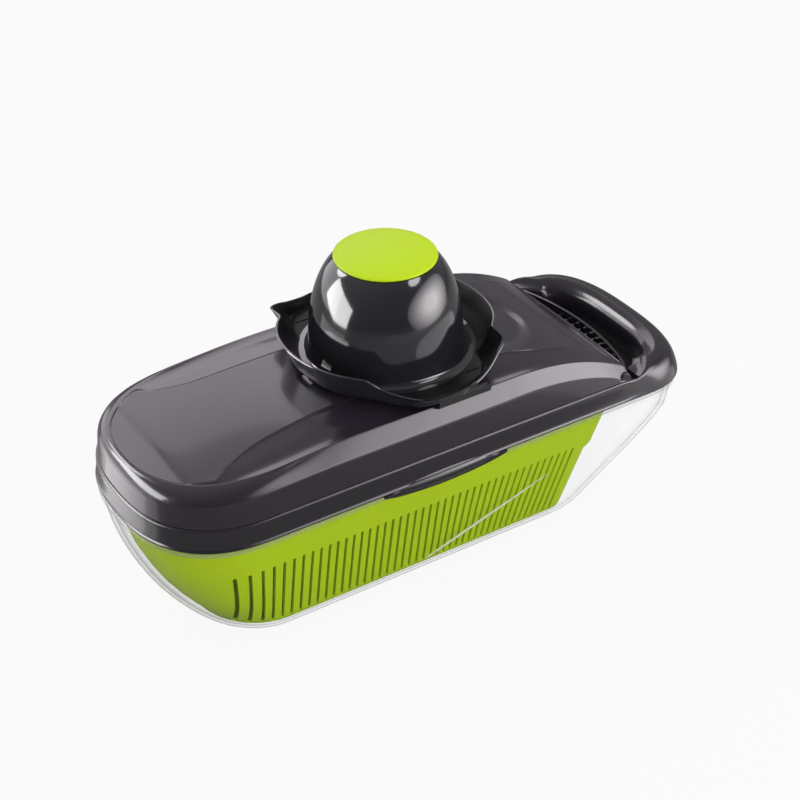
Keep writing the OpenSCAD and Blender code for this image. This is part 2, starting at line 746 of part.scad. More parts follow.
module stem_screw() {
    color(steel) translate([guard_x, 0, 0]) difference() {
        union() {
            translate([0, 0, plate_z - 1.8]) cylinder(r = 3.6, h = 1.8, $fn = 48);
            translate([0, 0, plate_z - 1]) cylinder(r = screw_r, h = 14, $fn = 48);
        }
        for (a = [0, 90]) rotate([0, 0, a]) translate([-2.4, -0.4, plate_z - 2]) cube([4.8, 0.8, 1.1]);
    }
}

container();
drain_basket();
cutter_frame();
dicing_insert();
long_blades();
cross_blades();
slicing_insert();
slicing_blade();
blade_rivets();
lid_shell();
pusher_grid();
cleaning_grid();
hinge_pin_near();
hinge_pin_far();
guard_body();
guard_cap();
plunger_stem();
spike_plate();
food_spikes();
stem_screw();
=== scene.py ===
"""Mandoline slicer and dicer: a clear container, a slotted basket, a cutter frame with a loop
handle, a hinged press lid and a hand guard with a plunger cap."""

from math import cos, exp, hypot, pi, radians, sin, sqrt, tan

import bmesh
import bpy
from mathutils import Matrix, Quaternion, Vector


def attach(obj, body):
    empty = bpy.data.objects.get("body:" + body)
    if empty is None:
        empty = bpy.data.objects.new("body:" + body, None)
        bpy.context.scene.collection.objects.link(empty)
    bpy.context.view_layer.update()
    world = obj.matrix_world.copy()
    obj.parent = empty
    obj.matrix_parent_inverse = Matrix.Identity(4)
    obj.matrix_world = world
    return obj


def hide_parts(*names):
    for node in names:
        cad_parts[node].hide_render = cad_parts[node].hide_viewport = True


bl_info = {
    "name": "Mandoline slicer",
    "version": (1, 0, 0),
    "blender": (4, 5, 0),
    "location": "View3D > Sidebar > Slicer",
    "description": "Builds a mandoline slicer with its basket, press lid and hand guard",
    "category": "Add Mesh",
}

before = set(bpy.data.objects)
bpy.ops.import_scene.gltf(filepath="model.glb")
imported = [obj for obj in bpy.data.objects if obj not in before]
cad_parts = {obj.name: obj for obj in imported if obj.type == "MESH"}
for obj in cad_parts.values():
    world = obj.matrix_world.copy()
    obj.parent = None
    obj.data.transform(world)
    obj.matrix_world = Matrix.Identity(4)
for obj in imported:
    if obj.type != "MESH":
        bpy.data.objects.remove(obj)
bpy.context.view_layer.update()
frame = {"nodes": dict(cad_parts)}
MM = 0.001


# ------------------------------------------------------------------ sizes and colours


def length_mm(name, description, default):
    return bpy.props.FloatProperty(
        name=name, description=description, default=default * MM, unit="LENGTH", precision=4
    )


def colour(name, description, default):
    return bpy.props.FloatVectorProperty(
        name=name, description=description, default=default, subtype="COLOR", min=0, max=1
    )


class SlicerSizes(bpy.types.PropertyGroup):
    """Sizes of the slicer's pieces"""

    container_wall: length_mm("Container wall", "Thickness of the container's wall", 2)
    rim_band: length_mm("Rim band", "Height of the band round the container's rim", 5.2)
    basket_wall: length_mm("Basket wall", "Thickness of the basket's wall", 1.6)
    slot_pitch: length_mm("Slot pitch", "Distance from one basket slot to the next", 4.6)
    slot_width: length_mm("Slot width", "Width of a basket slot", 1.5)
    lid_wall: length_mm("Lid wall", "Thickness of the press lid", 2.2)
    dome_wall: length_mm("Dome wall", "Thickness of the hand guard's dome", 2.2)
    cap: length_mm("Cap radius", "Radius of the plunger's cap", 26.4)


class SlicerColours(bpy.types.PropertyGroup):
    """Colours of the slicer's plastics"""

    lid: colour("Lid", "Mauve grey plastic of the press lid", (0.025, 0.019, 0.029))
    frame: colour("Frame", "Dark grey plastic of the cutter frame", (0.018, 0.015, 0.02))
    guard: colour("Guard", "Smoky plastic of the hand guard", (0.02, 0.019, 0.023))
    basket: colour("Basket", "Green plastic of the basket", (0.6, 0.86, 0.005))
    cap: colour("Cap", "Lime plastic of the plunger's cap", (0.63, 0.9, 0.008))


def sizes():
    """The sizes in millimetres, by name."""
    group = bpy.context.scene.slicer_sizes
    return {key: round(getattr(group, key) / MM, 3) for key in SlicerSizes.__annotations__}


# ------------------------------------------------------------------ curves and outlines

NOSE_X, TAIL_X = -162.5, 162.5
HALF_W = 61.5
RIM_TOP = 82.6
HINGE_X, HINGE_Z = 107.5, 96.4
# The hinge line's place, in the order in which a rod along y takes it
HINGE = (HINGE_Z, HINGE_X)
LID_FOOT, LID_TAIL = 96.3, 275
RIDGE_Z, CROWN = 120.6, 2.9
GUARD_X, TRAY_FLOOR = -5.0, 123.8


def mix(a, b, k):
    return a + (b - a) * k


def clamp01(k):
    return max(0.0, min(1.0, k))


def smooth(k):
    """A soft step from 0 to 1."""
    c = clamp01(k)
    return c * c * (3 - 2 * c)


def lookup(x, table):
    """The value at x between the nearest entries of a sorted table of pairs."""
    for (a, u), (b, v) in zip(table, table[1:]):
        if x <= b:
            return mix(u, v, clamp01((x - a) / (b - a)))
    return table[-1][1]


def eased(x, table):
    """As lookup, on a smooth curve through the entries."""
    xs, vs = [e[0] for e in table], [e[1] for e in table]
    if x <= xs[0] or x >= xs[-1]:
        return vs[0] if x <= xs[0] else vs[-1]
    i = max(k for k in range(len(xs) - 1) if xs[k] <= x)

    def slope(k):
        a, b = max(k - 1, 0), min(k + 1, len(xs) - 1)
        return (vs[b] - vs[a]) / (xs[b] - xs[a])

    h = xs[i + 1] - xs[i]
    t = (x - xs[i]) / h
    return (
        (2 * t**3 - 3 * t**2 + 1) * vs[i]
        + (t**3 - 2 * t**2 + t) * h * slope(i)
        + (3 * t**2 - 2 * t**3) * vs[i + 1]
        + (t**3 - t**2) * h * slope(i + 1)
    )


def outline_point(o, s):
    """Point s of an outline's near half: 0 to 1 round the nose, to 2 along the side, to 3 round
    the tail. o is (tip, nose reach, nose half width, nose power, the same four at the tail)."""
    if s <= 1:
        t = s * pi / 2
        x = o[0] + o[1] * (1 - max(0.0, cos(t)) ** (2 / o[3]))
        return x, -o[2] * sin(t) ** (2 / o[3])
    if s < 2:
        k = s - 1
        return mix(o[0] + o[1], o[4] - o[5], k), -mix(o[2], o[6], k)
    t = (3 - s) * pi / 2
    x = o[4] - o[5] * (1 - max(0.0, cos(t)) ** (2 / o[7]))
    return x, -o[6] * sin(t) ** (2 / o[7])


def inset(o, d):
    """An outline moved in by a distance."""
    return (o[0] + d, o[1] - d, o[2] - d, o[3], o[4] - d, o[5] - d, o[6] - d, o[7])


def stations(nose, side, tail):
    """Places along a near half, evenly spread in each of its three parts."""
    return (
        [i / nose for i in range(nose)]
        + [1 + i / side for i in range(side)]
        + [2 + i / tail for i in range(tail + 1)]
    )


def whole(half):
    """A closed loop from its near half, which runs from the nose to the tail."""
    return half + [(x, -y, z) for x, y, z in half[-2:0:-1]]


def level_loop(o, z, places):
    return whole([(*outline_point(o, s), z) for s in places])


def circle(radius, n, centre=(0, 0)):
    """Pairs of coordinates round a circle."""
    turns = [2 * pi * i / n for i in range(n)]
    return [(centre[0] + radius * cos(a), centre[1] + radius * sin(a)) for a in turns]


def on_side(side, span):
    """A span turned to the side -1 or 1, in rising order."""
    return sorted((side * span[0], side * span[1]))


def corner_curve(a, p, b, cut, steps, share=0.48):
    """A small curve in place of the corner p between a and b. It takes at most a share of each."""
    a, p, b = Vector(a), Vector(p), Vector(b)
    u, v = a - p, b - p
    start = p + u.normalized() * min(cut, share * u.length)
    end = p + v.normalized() * min(cut, share * v.length)
    return [
        tuple(start * (1 - t) ** 2 + p * 2 * t * (1 - t) + end * t * t)
        for t in (k / steps for k in range(steps + 1))
    ]


def rounded(points, cuts):
    """A closed section with every corner turned into a small curve."""
    made = []
    for i, p in enumerate(points):
        cut = cuts[i] if isinstance(cuts, (list, tuple)) else cuts
        made += corner_curve(points[i - 1], p, points[(i + 1) % len(points)], cut, 3)
    return made


# ------------------------------------------------------------------ mesh building


class Shape:
    """Vertices, in millimetres, and faces of a piece while it is being built."""

    def __init__(self):
        self.verts, self.faces = [], []

    def add(self, points):
        first = len(self.verts)
        self.verts += [tuple(p) for p in points]
        return first

    def skin(self, loops, around=False):
        """Skins neighbouring closed loops, and the last to the first when around is set."""
        n = len(loops[0])
        first = [self.add(loop) for loop in loops]
        pairs = list(zip(first, first[1:])) + ([(first[-1], first[0])] if around else [])
        for a, b in pairs:
            for i in range(n):
                j = (i + 1) % n
                self.faces.append((a + i, a + j, b + j, b + i))
        return first

    def close_across(self, loop, rows=1, height=None):
        """Fills a loop from its near side to its far side with rows of faces."""
        n = len(loop)
        h = n // 2
        near = [loop[i] for i in range(h + 1)]
        far = [loop[0]] + [loop[n - i] for i in range(1, h)] + [loop[h]]
        grid = []
        for i in range(h + 1):
            a, b = Vector(near[i]), Vector(far[i])
            line = []
            for j in range(rows + 1):
                p = a.lerp(b, j / rows)
                line.append((p.x, p.y, height(p.x, p.y, p.z) if height else p.z))
            grid.append(line)
        self.grid(grid)

    def grid(self, rows):
        first = [self.add(row) for row in rows]
        for a, b in zip(first, first[1:]):
            for i in range(len(rows[0]) - 1):
                self.faces.append((a + i, a + i + 1, b + i + 1, b + i))

    def turn(self, profile, at, segments=144):
        """A closed surface of revolution of (radius, height) points about a vertical line."""
        loops = [[(x, y, z) for x, y in circle(r, segments, at)] for r, z in profile]
        self.skin(loops, around=True)

    def solid(self, loops):
        """Skins a row of loops and closes both of its ends."""
        first = self.skin(loops)
        n = len(loops[0])
        self.faces.append(tuple(range(first[0] + n - 1, first[0] - 1, -1)))
        self.faces.append(tuple(range(first[-1], first[-1] + n)))

    def slab(self, ring, low, high):
        """A ring of (x, y) points filled between two heights."""
        self.solid([[(x, y, z) for x, y in ring] for z in (low, high)])

    def block(self, low, high):
        """A box between two corners."""
        (x0, y0, z0), (x1, y1, z1) = low, high
        self.slab([(x0, y0), (x1, y0), (x1, y1), (x0, y1)], z0, z1)

    def rod(self, centre, axis, radius, start, end, segments=32, cut=0.0):
        """A cylinder along x, y or z with softened ends."""
        k = "xyz".index(axis)
        thin = radius - cut
        loops = []
        for along, r in ((start, thin), (start + cut, radius), (end - cut, radius), (end, thin)):
            loop = []
            for u, v in circle(r, segments, centre):
                p = [0, 0, 0]
                p[k] = along
                p[(k + 1) % 3] = u
                p[(k + 2) % 3] = v
                loop.append(tuple(p))
            loops.append(loop)
        self.solid(loops)

    def mesh(self, name):
        mesh = bpy.data.meshes.new(name)
        mesh.from_pydata([Vector(v) * MM for v in self.verts], [], self.faces)
        work = bmesh.new()
        work.from_mesh(mesh)
        bmesh.ops.remove_doubles(work, verts=work.verts, dist=0.00001)
        bmesh.ops.dissolve_degenerate(work, edges=work.edges, dist=0.000005)
        bmesh.ops.recalc_face_normals(work, faces=work.faces)
        work.to_mesh(mesh)
        work.free()
        return mesh


def new_object(name, mesh):
    obj = bpy.data.objects.new(name, mesh)
    bpy.context.scene.collection.objects.link(obj)
    return obj


def piece(name, shape):
    """A new object with the mesh of a shape."""
    return new_object(name, shape.mesh(name))


def place(obj, body, slot, material, *nodes, sharp=32):
    """Finishes a piece: its shading, finish, body and the CAD nodes that it stands for."""
    mesh = obj.data
    mesh.materials.clear()
    mesh.materials.append(material)
    mesh.shade_smooth()
    mesh.set_sharp_from_angle(angle=radians(sharp))
    if not mesh.polygons:
        raise RuntimeError(f"{obj.name} has no faces")
    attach(obj, body)
    if nodes:
        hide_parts(*nodes)
    return obj


def paint(obj, material, chosen):
    """Gives the faces that pass a test, on their centre and normal in millimetres, a finish."""
    obj.data.materials.append(material)
    for face in obj.data.polygons:
        if chosen(face.center / MM, face.normal):
            face.material_index = len(obj.data.materials) - 1


def baked(obj):
    """Turns an object's modifiers into its mesh."""
    bpy.context.view_layer.update()
    result = obj.evaluated_get(bpy.context.evaluated_depsgraph_get())
    mesh = bpy.data.meshes.new_from_object(result)
    mesh.name = obj.name
    obj.modifiers.clear()
    old, obj.data = obj.data, mesh
    bpy.data.meshes.remove(old)
    return obj


def cut_with(obj, cutter_shape):
    """Cuts the cutter's closed boxes out of a piece."""
    cutter = new_object(obj.name + "_cutter", cutter_shape.mesh("cutter"))
    modifier = obj.modifiers.new("Cut", "BOOLEAN")
    modifier.operation = "DIFFERENCE"
    modifier.solver = "EXACT"
    modifier.use_self = True
    modifier.object = cutter
    baked(obj)
    bpy.data.objects.remove(cutter)
    return obj


# ------------------------------------------------------------------ materials


class Nodes:
    """Adds nodes to a tree and links them in one call."""

    def __init__(self, tree):
        self.tree = tree

    def add(self, kind, links=None, **values):
        node = self.tree.nodes.new(kind)
        for key, value in values.items():
            if key.startswith("in_"):
                node.inputs[key[3:].replace("_", " ")].default_value = value
            else:
                setattr(node, key, value)
        for key, source in (links or {}).items():
            self.tree.links.new(source, node.inputs[key])
        return node

    def ramp(self, factor, low, high, ends=(0, 1), interpolation="LINEAR"):
        """A colour that runs from one to another between two values of the factor."""
        node = self.add("ShaderNodeValToRGB", {"Fac": factor})
        node.color_ramp.interpolation = interpolation
        for element, position, tone in zip(node.color_ramp.elements, ends, (low, high)):
            element.position = position
            element.color = (*tone, 1)
        return node.outputs["Color"]

    def blend(self, share, first, second):
        """Two shaders, with a share of the second."""
        return self.add("ShaderNodeMixShader", {0: share, 1: first, 2: second}).outputs[0]

    def surface(self, shader, kind="Material"):
        self.add(f"ShaderNodeOutput{kind}", {"Surface": shader})


def new_material(name):
    material = bpy.data.materials.new(name)
    material.use_nodes = True
    material.node_tree.nodes.clear()
    return material, Nodes(material.node_tree)


def moulded_plastic(name, colour, rough=0.3, cloud=0.03, coat=0.0, through=0.0, specular=0.5):
    """Moulded plastic: a faint cloudiness in the colour and an uneven gloss."""
    material, nodes = new_material(name)
    where = nodes.add("ShaderNodeTexCoord").outputs["Object"]
    clouds = nodes.add("ShaderNodeTexNoise", {"Vector": where}, in_Scale=16.0, in_Detail=2.0,
                       in_Roughness=0.5)
    low = [c * (1 - cloud) for c in colour]
    high = [min(1.0, c * (1 + cloud)) for c in colour]
    tone = nodes.ramp(clouds.outputs["Fac"], low, high, (0.2, 0.8), "EASE")
    handled = nodes.add("ShaderNodeTexNoise", {"Vector": where}, in_Scale=24.0, in_Detail=2.0)
    gloss = nodes.add("ShaderNodeMapRange", {"Value": handled.outputs["Fac"]}, in_From_Min=0.1,
                      in_From_Max=0.9, in_To_Min=rough * 0.9, in_To_Max=rough * 1.1)
    shader = nodes.add("ShaderNodeBsdfPrincipled",
                       {"Base Color": tone, "Roughness": gloss.outputs["Result"]}, in_IOR=1.5,
                       in_Specular_IOR_Level=specular, in_Coat_Weight=coat, in_Coat_Roughness=0.06)
    if through:
        shader.inputs["Subsurface Weight"].default_value = through
        shader.inputs["Subsurface Radius"].default_value = (0.4, 1.0, 0.1)
        shader.inputs["Subsurface Scale"].default_value = 0.002
    nodes.surface(shader.outputs["BSDF"])
    return material


def clear_plastic(name, least_haze=0.0, most_haze=0.1, body_tone=(0.8, 0.82, 0.83)):
    """Clear rigid plastic: see-through face on, brighter and slightly milky where it turns away."""
    material, nodes = new_material(name)
    where = nodes.add("ShaderNodeTexCoord").outputs["Object"]
    ripple = nodes.add("ShaderNodeTexNoise", {"Vector": where}, in_Scale=30.0, in_Detail=2.0)
    bump = nodes.add("ShaderNodeBump", {"Height": ripple.outputs["Fac"]}, in_Strength=0.08,
                     in_Distance=0.001)
    normal = {"Normal": bump.outputs["Normal"]}
    edge = nodes.add("ShaderNodeLayerWeight", normal, in_Blend=0.5).outputs["Facing"]
    haze = nodes.add("ShaderNodeMapRange", {"Value": edge}, in_From_Min=0.8, in_From_Max=1.0,
                     in_To_Min=least_haze, in_To_Max=most_haze)
    steep = nodes.add("ShaderNodeMath", {0: edge}, operation="POWER")
    steep.inputs[1].default_value = 6.0
    mirror = nodes.add("ShaderNodeMapRange", {"Value": steep.outputs[0]}, in_To_Min=0.006,
                       in_To_Max=0.6)
    clear = nodes.add("ShaderNodeBsdfTransparent", in_Color=(0.996, 0.997, 0.997, 1))
    body = nodes.add("ShaderNodeBsdfPrincipled", normal, in_Base_Color=(*body_tone, 1),
                     in_Roughness=0.12, in_IOR=1.5)
    gloss = nodes.add("ShaderNodeBsdfGlossy", normal, in_Roughness=0.04, in_Color=(1, 1, 1, 1))
    shine = nodes.blend(mirror.outputs["Result"], clear.outputs["BSDF"], gloss.outputs["BSDF"])
    nodes.surface(nodes.blend(haze.outputs["Result"], shine, body.outputs["BSDF"]))
    return material


def ground_steel(name):
    """Stainless steel with fine grinding lines along the blade."""
    material, nodes = new_material(name)
    where = nodes.add("ShaderNodeTexCoord").outputs["Object"]
    stretched = nodes.add("ShaderNodeMapping", {"Vector": where}, in_Scale=(120, 2200, 900))
    lines = nodes.add("ShaderNodeTexNoise", {"Vector": stretched.outputs["Vector"]}, in_Scale=1.0,
                      in_Detail=3.0)
    tone = nodes.ramp(lines.outputs["Fac"], (0.52, 0.53, 0.55), (0.74, 0.75, 0.76))
    bump = nodes.add("ShaderNodeBump", {"Height": lines.outputs["Fac"]}, in_Strength=0.15,
                     in_Distance=0.0001)
    shader = nodes.add("ShaderNodeBsdfPrincipled",
                       {"Base Color": tone, "Normal": bump.outputs["Normal"]}, in_Metallic=1.0,
                       in_Roughness=0.28)
    nodes.surface(shader.outputs["BSDF"])
    return material


MATERIALS = {}


def finish(name):
    """The named finish, made once."""
    if name not in MATERIALS:
        colours = bpy.context.scene.slicer_colours
        makers = {
            "clear": lambda: clear_plastic("clear_plastic"),
            # Near white hazy clear plastic: a painted highlight along the side creases
            "crease": lambda: clear_plastic("clear_crease_painted_highlight", 0.85, 0.95, (0.95, 0.97, 0.85)),
            # Grey hazy clear plastic: painted shade on the container's rim strip under the frame
            "rim": lambda: clear_plastic("clear_rim_painted_shade", 0.4, 0.6, (0.34, 0.35, 0.37)),
            "steel": lambda: ground_steel("ground_steel"),
            "basket": lambda: moulded_plastic("basket_green", colours.basket, 0.34, through=0.12,
                                              specular=0.25),
            "frame": lambda: moulded_plastic("frame_grey", colours.frame, 0.22, coat=0.3),
            "lid": lambda: moulded_plastic("lid_mauve_grey", colours.lid, 0.23, coat=0.3),
            "guard": lambda: moulded_plastic("guard_smoke", colours.guard, 0.12, coat=0.6),
            # A darker, duller copy of the smoke plastic: painted shade for the inside of the tray and the
            # well under the handle
            "tray": lambda: moulded_plastic("smoke_painted_shade", [c * 0.4 for c in colours.guard], 0.4,
                                            specular=0.12),
            "cap": lambda: moulded_plastic("cap_lime", colours.cap, 0.45, 0.02, through=0.1,
                                           specular=0.2),
        }
        MATERIALS[name] = makers[name]()
    return MATERIALS[name]


# ------------------------------------------------------------------ container

BASE_LENGTH, BASE_CORNER, BASE_NOSE, TAIL_START = 215, 13, 41.7, 0.24
# How far the rim lies inside the frame, how far its band stands out, and its top strip, painted grey and
# hazy as shade under the dark frame
RIM_IN, RIM_OUT, RIM_STRIP = 2, 1.4, 2.6
# The crease's front and back ends, as (x, z), and its radius at each
CREASE_FRONT, CREASE_BACK, CREASE_RADII = (-9, 14.6), (66, 47.5), (0.85, 0.45)


def tub_outline(z, d):
    """Outline of the container at a height. It narrows to its base, and its tail runs in under
    the handle."""
    k = clamp01(1 - z / RIM_TOP)
    u = max(0.0, 1 - z / BASE_CORNER)
    t = max(0.0, (k - TAIL_START) / (1 - TAIL_START))
    nose_in = BASE_NOSE * k * k
    length = TAIL_X - NOSE_X - 2 * RIM_IN
    tail_all = length - BASE_NOSE - BASE_LENGTH - 2 * BASE_CORNER + 21
    tail_in = (tail_all - 5) * mix(t, smooth(t), 0.33) + 5 * k
    half = mix(HALF_W - RIM_IN, 38.4, k**1.1)
    into = d + BASE_CORNER * (1 - sqrt(1 - u * u))
    return (
        NOSE_X + RIM_IN + nose_in + into,
        mix(55, 33, k) - into,
        half - into,
        mix(2.5, 1.95, k),
        TAIL_X - RIM_IN - tail_in - into,
        mix(40, 27, k) - into,
        half - into,
        mix(2.75, 2.9, k),
    )


class SLICER_OT_container(bpy.types.Operator):
    """Builds the clear catch container with its rim band"""

    bl_idname = "slicer.container"
    bl_label = "Container"

    def execute(self, context):
        places = stations(30, 40, 24)
        size = sizes()
        neck, band, wall = RIM_TOP - size["rim_band"], RIM_OUT, size["container_wall"]
        levels = [1.0, 0.97, 0.93, 0.88, 0.82, 0.75, 0.68, 0.6, 0.52, 0.44, 0.36, 0.29, 0.23, 0.17,
                  0.13, 0.095, 0.065, 0.04, 0.02, 0.008, 0.0]
        rim = [(wall - 0.25, RIM_TOP), (0.6 - band, RIM_TOP), (0.15 - band, RIM_TOP - 0.25),
               (-band, RIM_TOP - 0.8), (-band, RIM_TOP - RIM_STRIP + 0.1), (-band, neck + 0.7),
               (0.15 - band, neck + 0.2), (0.7 - band, neck)]
        outer = [level_loop(tub_outline(z, d), z, places) for d, z in rim]
        outer += [level_loop(tub_outline(z, 0), z, places)
                  for z in (k * (neck - 0.4) for k in levels)]
        inner = [
            level_loop(tub_outline(k * neck, wall), max(k * neck, wall), places)
            for k in [RIM_TOP / neck] + levels
        ]
        shape = Shape()
        shape.skin([outer[0], inner[0]])
        shape.skin(outer)
        shape.close_across(outer[-1])
        shape.skin(inner)
        shape.close_across(inner[-1])
        obj = piece("container_clear", shape)
        place(obj, "container", "container", finish("clear"), "container", sharp=40)
        # The rim's top strip is painted grey: painted shade where the dark frame hangs over and behind it
        paint(obj, finish("rim"), lambda c, n: c.z > RIM_TOP - RIM_STRIP)
        self.creases()
        return {"FINISHED"}

    def creases(self):
        """The fine raised crease along each side wall, from the base up towards the tail, painted near
        white as a highlight along it.
        """
        n = 60
        shape = Shape()
        for side in (-1, 1):
            loops = []
            for i in range(1, n):
                x, z = (mix(a, b, i / n) for a, b in zip(CREASE_FRONT, CREASE_BACK))
                y = tub_outline(z, 0)[2]
                r = sin(pi * i / n) ** 0.4 * mix(*CREASE_RADII, i / n)
                loops.append([(x, side * across, up) for across, up in circle(r, 10, (y, z))])
            shape.solid(loops)
        obj = piece("container_creases", shape)
        place(obj, "container", "container", finish("crease"), sharp=60)


# ------------------------------------------------------------------ basket

BASKET_TOP, BASKET_BASE, BASKET_GAP = 80, 5.4, 5.2
BASKET_TAIL = NOSE_X + 269
SLOT_TOP, SLOT_FOOT, SLOT_COUNT, LAST_SLOT = 55, 9, 43, 83.1
# How far the foot of a slot lies behind its top, by the top's place along the basket
SLOT_LEAN = [(-123, 8), (-115, 6), (-108, 5), (-101, 3.5), (-90, 2.8), (-4, 2.6), (47, -3), (83, -6)]
# The first slot stands this much further forward and is this much wider. Both fade with the
# slots' count from the nose, by a factor e over the number of slots given.
NOSE_SPREAD, SPREAD_FADE = 13.3, 3.6
NOSE_WIDEN, WIDEN_FADE = 0.5, 4
NOSE_COLUMNS, TAIL_COLUMNS = 9, 20


def basket_outline(z, d):
    """Outline of the basket at a height. It stands clear of the container all round."""
    k, h = clamp01(1 - z / BASKET_TOP), z - BASKET_BASE
    u = clamp01(1 - h / 4)
    into = d + 4 * (1 - sqrt(1 - u * u))
    tub = tub_outline(max(z, BASE_CORNER), 0)
    nose = tub[0] + BASKET_GAP + 15 * clamp01(1 - z / BASE_CORNER) ** 1.5
    half = mix(HALF_W - RIM_IN - BASKET_GAP, 34.8, k)
    tail = BASKET_TAIL + 3 * smooth((z - 50) / 4) - 15 * k
    return (nose + into, tub[1] - 3 - into, half - into, tub[3], tail - into, 14 - into,
            half - into, 3)


def station_at(outline, x):
    """The station of an outline at a distance along the slicer."""
    low, high = 0.0, 2.6
    for _ in range(30):
        middle = (low + high) / 2
        if outline_point(outline, middle)[0] < x:
            low = middle
        else:
            high = middle
    return low


def slot_tops(pitch, width):
    """Front and back edges of the slots at their tops. They spread out round the nose."""
    tops = []
    for i in range(SLOT_COUNT):
        x = LAST_SLOT - pitch * (SLOT_COUNT - 1 - i) - NOSE_SPREAD * exp(-i / SPREAD_FADE)
        tops += [x, x + width + NOSE_WIDEN * exp(-i / WIDEN_FADE)]
    return tops


def basket_loop(z, d, tops):
    """A loop of the basket's wall with two places for every slot, so that each slot is one
    column of faces from top to foot."""
    outline = basket_outline(z, d)
    down = clamp01((SLOT_TOP - z) / (SLOT_TOP - SLOT_FOOT))
    places = []
    for i, x in enumerate(tops):
        lean = lookup(tops[i - i % 2], SLOT_LEAN)
        places.append(station_at(outline, x + lean * down))
    nose = [places[0] * k / NOSE_COLUMNS for k in range(NOSE_COLUMNS)]
    tail = [mix(places[-1], 3, k / TAIL_COLUMNS) for k in range(1, TAIL_COLUMNS + 1)]
    return level_loop(outline, z, nose + places + tail)


def slot_tree():
    """Cuts the marked columns of a basket's wall out between two heights."""
    tree = bpy.data.node_groups.new("basket_slots", "GeometryNodeTree")
    face = tree.interface
    face.new_socket("Geometry", in_out="INPUT", socket_type="NodeSocketGeometry")
    for name, value in (("Slot foot", SLOT_FOOT * MM), ("Slot top", SLOT_TOP * MM)):
        face.new_socket(name, in_out="INPUT", socket_type="NodeSocketFloat").default_value = value
    face.new_socket("Finish", in_out="INPUT", socket_type="NodeSocketMaterial")
    face.new_socket("Geometry", in_out="OUTPUT", socket_type="NodeSocketGeometry")
    nodes = Nodes(tree)
    inputs = nodes.add("NodeGroupInput").outputs
    height = nodes.add(
        "ShaderNodeSeparateXYZ", {0: nodes.add("GeometryNodeInputPosition").outputs[0]}
    ).outputs["Z"]
    above = nodes.add("FunctionNodeCompare", {0: height, 1: inputs["Slot foot"]},
                      operation="GREATER_THAN")
    below = nodes.add("FunctionNodeCompare", {0: height, 1: inputs["Slot top"]},
                      operation="LESS_THAN")
    marked = nodes.add("GeometryNodeInputNamedAttribute", data_type="BOOLEAN", in_Name="slot")
    between = nodes.add("FunctionNodeBooleanMath", {0: above.outputs[0], 1: below.outputs[0]})
    chosen = nodes.add("FunctionNodeBooleanMath",
                       {0: between.outputs[0], 1: marked.outputs["Attribute"]})
    cut = nodes.add("GeometryNodeDeleteGeometry",
                    {"Geometry": inputs["Geometry"], "Selection": chosen.outputs[0]}, domain="FACE")
    real = nodes.add("GeometryNodeRealizeInstances", {0: cut.outputs[0]})
    painted = nodes.add("GeometryNodeSetMaterial",
                        {"Geometry": real.outputs[0], "Material": inputs["Finish"]})
    nodes.add("NodeGroupOutput", {"Geometry": painted.outputs[0]})
    return tree


def set_inputs(modifier, values):
    """Sets a tree's inputs by name."""
    for item in modifier.node_group.interface.items_tree:
        if item.item_type == "SOCKET" and item.in_out == "INPUT" and item.name in values:
            modifier[item.identifier] = values[item.name]


class SLICER_OT_basket(bpy.types.Operator):
    """Builds the green drain basket with its rows of slots"""

    bl_idname = "slicer.basket"
    bl_label = "Basket"

    def execute(self, context):
        size = sizes()
        tops = slot_tops(size["slot_pitch"], size["slot_width"])
        levels = [BASKET_TOP, 78, 66, SLOT_TOP + 0.01, 54, 53, 52, 51, 50, 42, 34, 26, 18, 13,
                  SLOT_FOOT - 0.01, 8, 7, 6.2, 5.7, BASKET_BASE]
        shape = Shape()
        loops = [basket_loop(z, 0, tops) for z in levels]
        shape.skin(loops)
        walls = len(shape.faces)
        shape.close_across(loops[-1], rows=14)
        mesh = bpy.data.meshes.new("drain_basket_slotted")
        mesh.from_pydata([Vector(v) * MM for v in shape.verts], [], shape.faces)
        n = len(loops[0])
        half = n // 2
        marks = mesh.attributes.new("slot", "BOOLEAN", "FACE")
        for f in range(walls):
            i = f % n
            slot = (i if i < half else n - 1 - i) - NOSE_COLUMNS
            marks.data[f].value = 0 <= slot < len(tops) and slot % 2 == 0
        obj = new_object("drain_basket_slotted", mesh)
        cut = obj.modifiers.new("Slots", "NODES")
        cut.node_group = slot_tree()
        set_inputs(cut, {"Slot foot": SLOT_FOOT * MM, "Slot top": SLOT_TOP * MM,
                         "Finish": finish("basket")})
        baked(obj)
        work = bmesh.new()
        work.from_mesh(obj.data)
        bmesh.ops.remove_doubles(work, verts=work.verts, dist=0.00001)
        bmesh.ops.recalc_face_normals(work, faces=work.faces)
        if max(work.faces, key=lambda f: f.calc_center_median().x).normal.x < 0:
            bmesh.ops.reverse_faces(work, faces=work.faces)
        work.to_mesh(obj.data)
        work.free()
        wall = obj.modifiers.new("Wall", "SOLIDIFY")
        wall.thickness = size["basket_wall"] * MM
        wall.offset = -1
        baked(obj)
        feet = Shape()
        for x, y in ((-95, -18), (-95, 18), (60, -24), (60, 24)):
            feet.rod((x, y), "z", 3, 2.2, BASKET_BASE + 0.4, cut=0.4)
        feet = piece("drain_basket_feet", feet)
        place(obj, "basket", "basket", finish("basket"), "drain_basket", sharp=40)
        place(feet, "basket", "basket", finish("basket"))
        return {"FINISHED"}


# ------------------------------------------------------------------ cutter frame

FRAME_OUTLINE = (NOSE_X, 57, HALF_W, 2.5, TAIL_X, 40, HALF_W, 2.75)
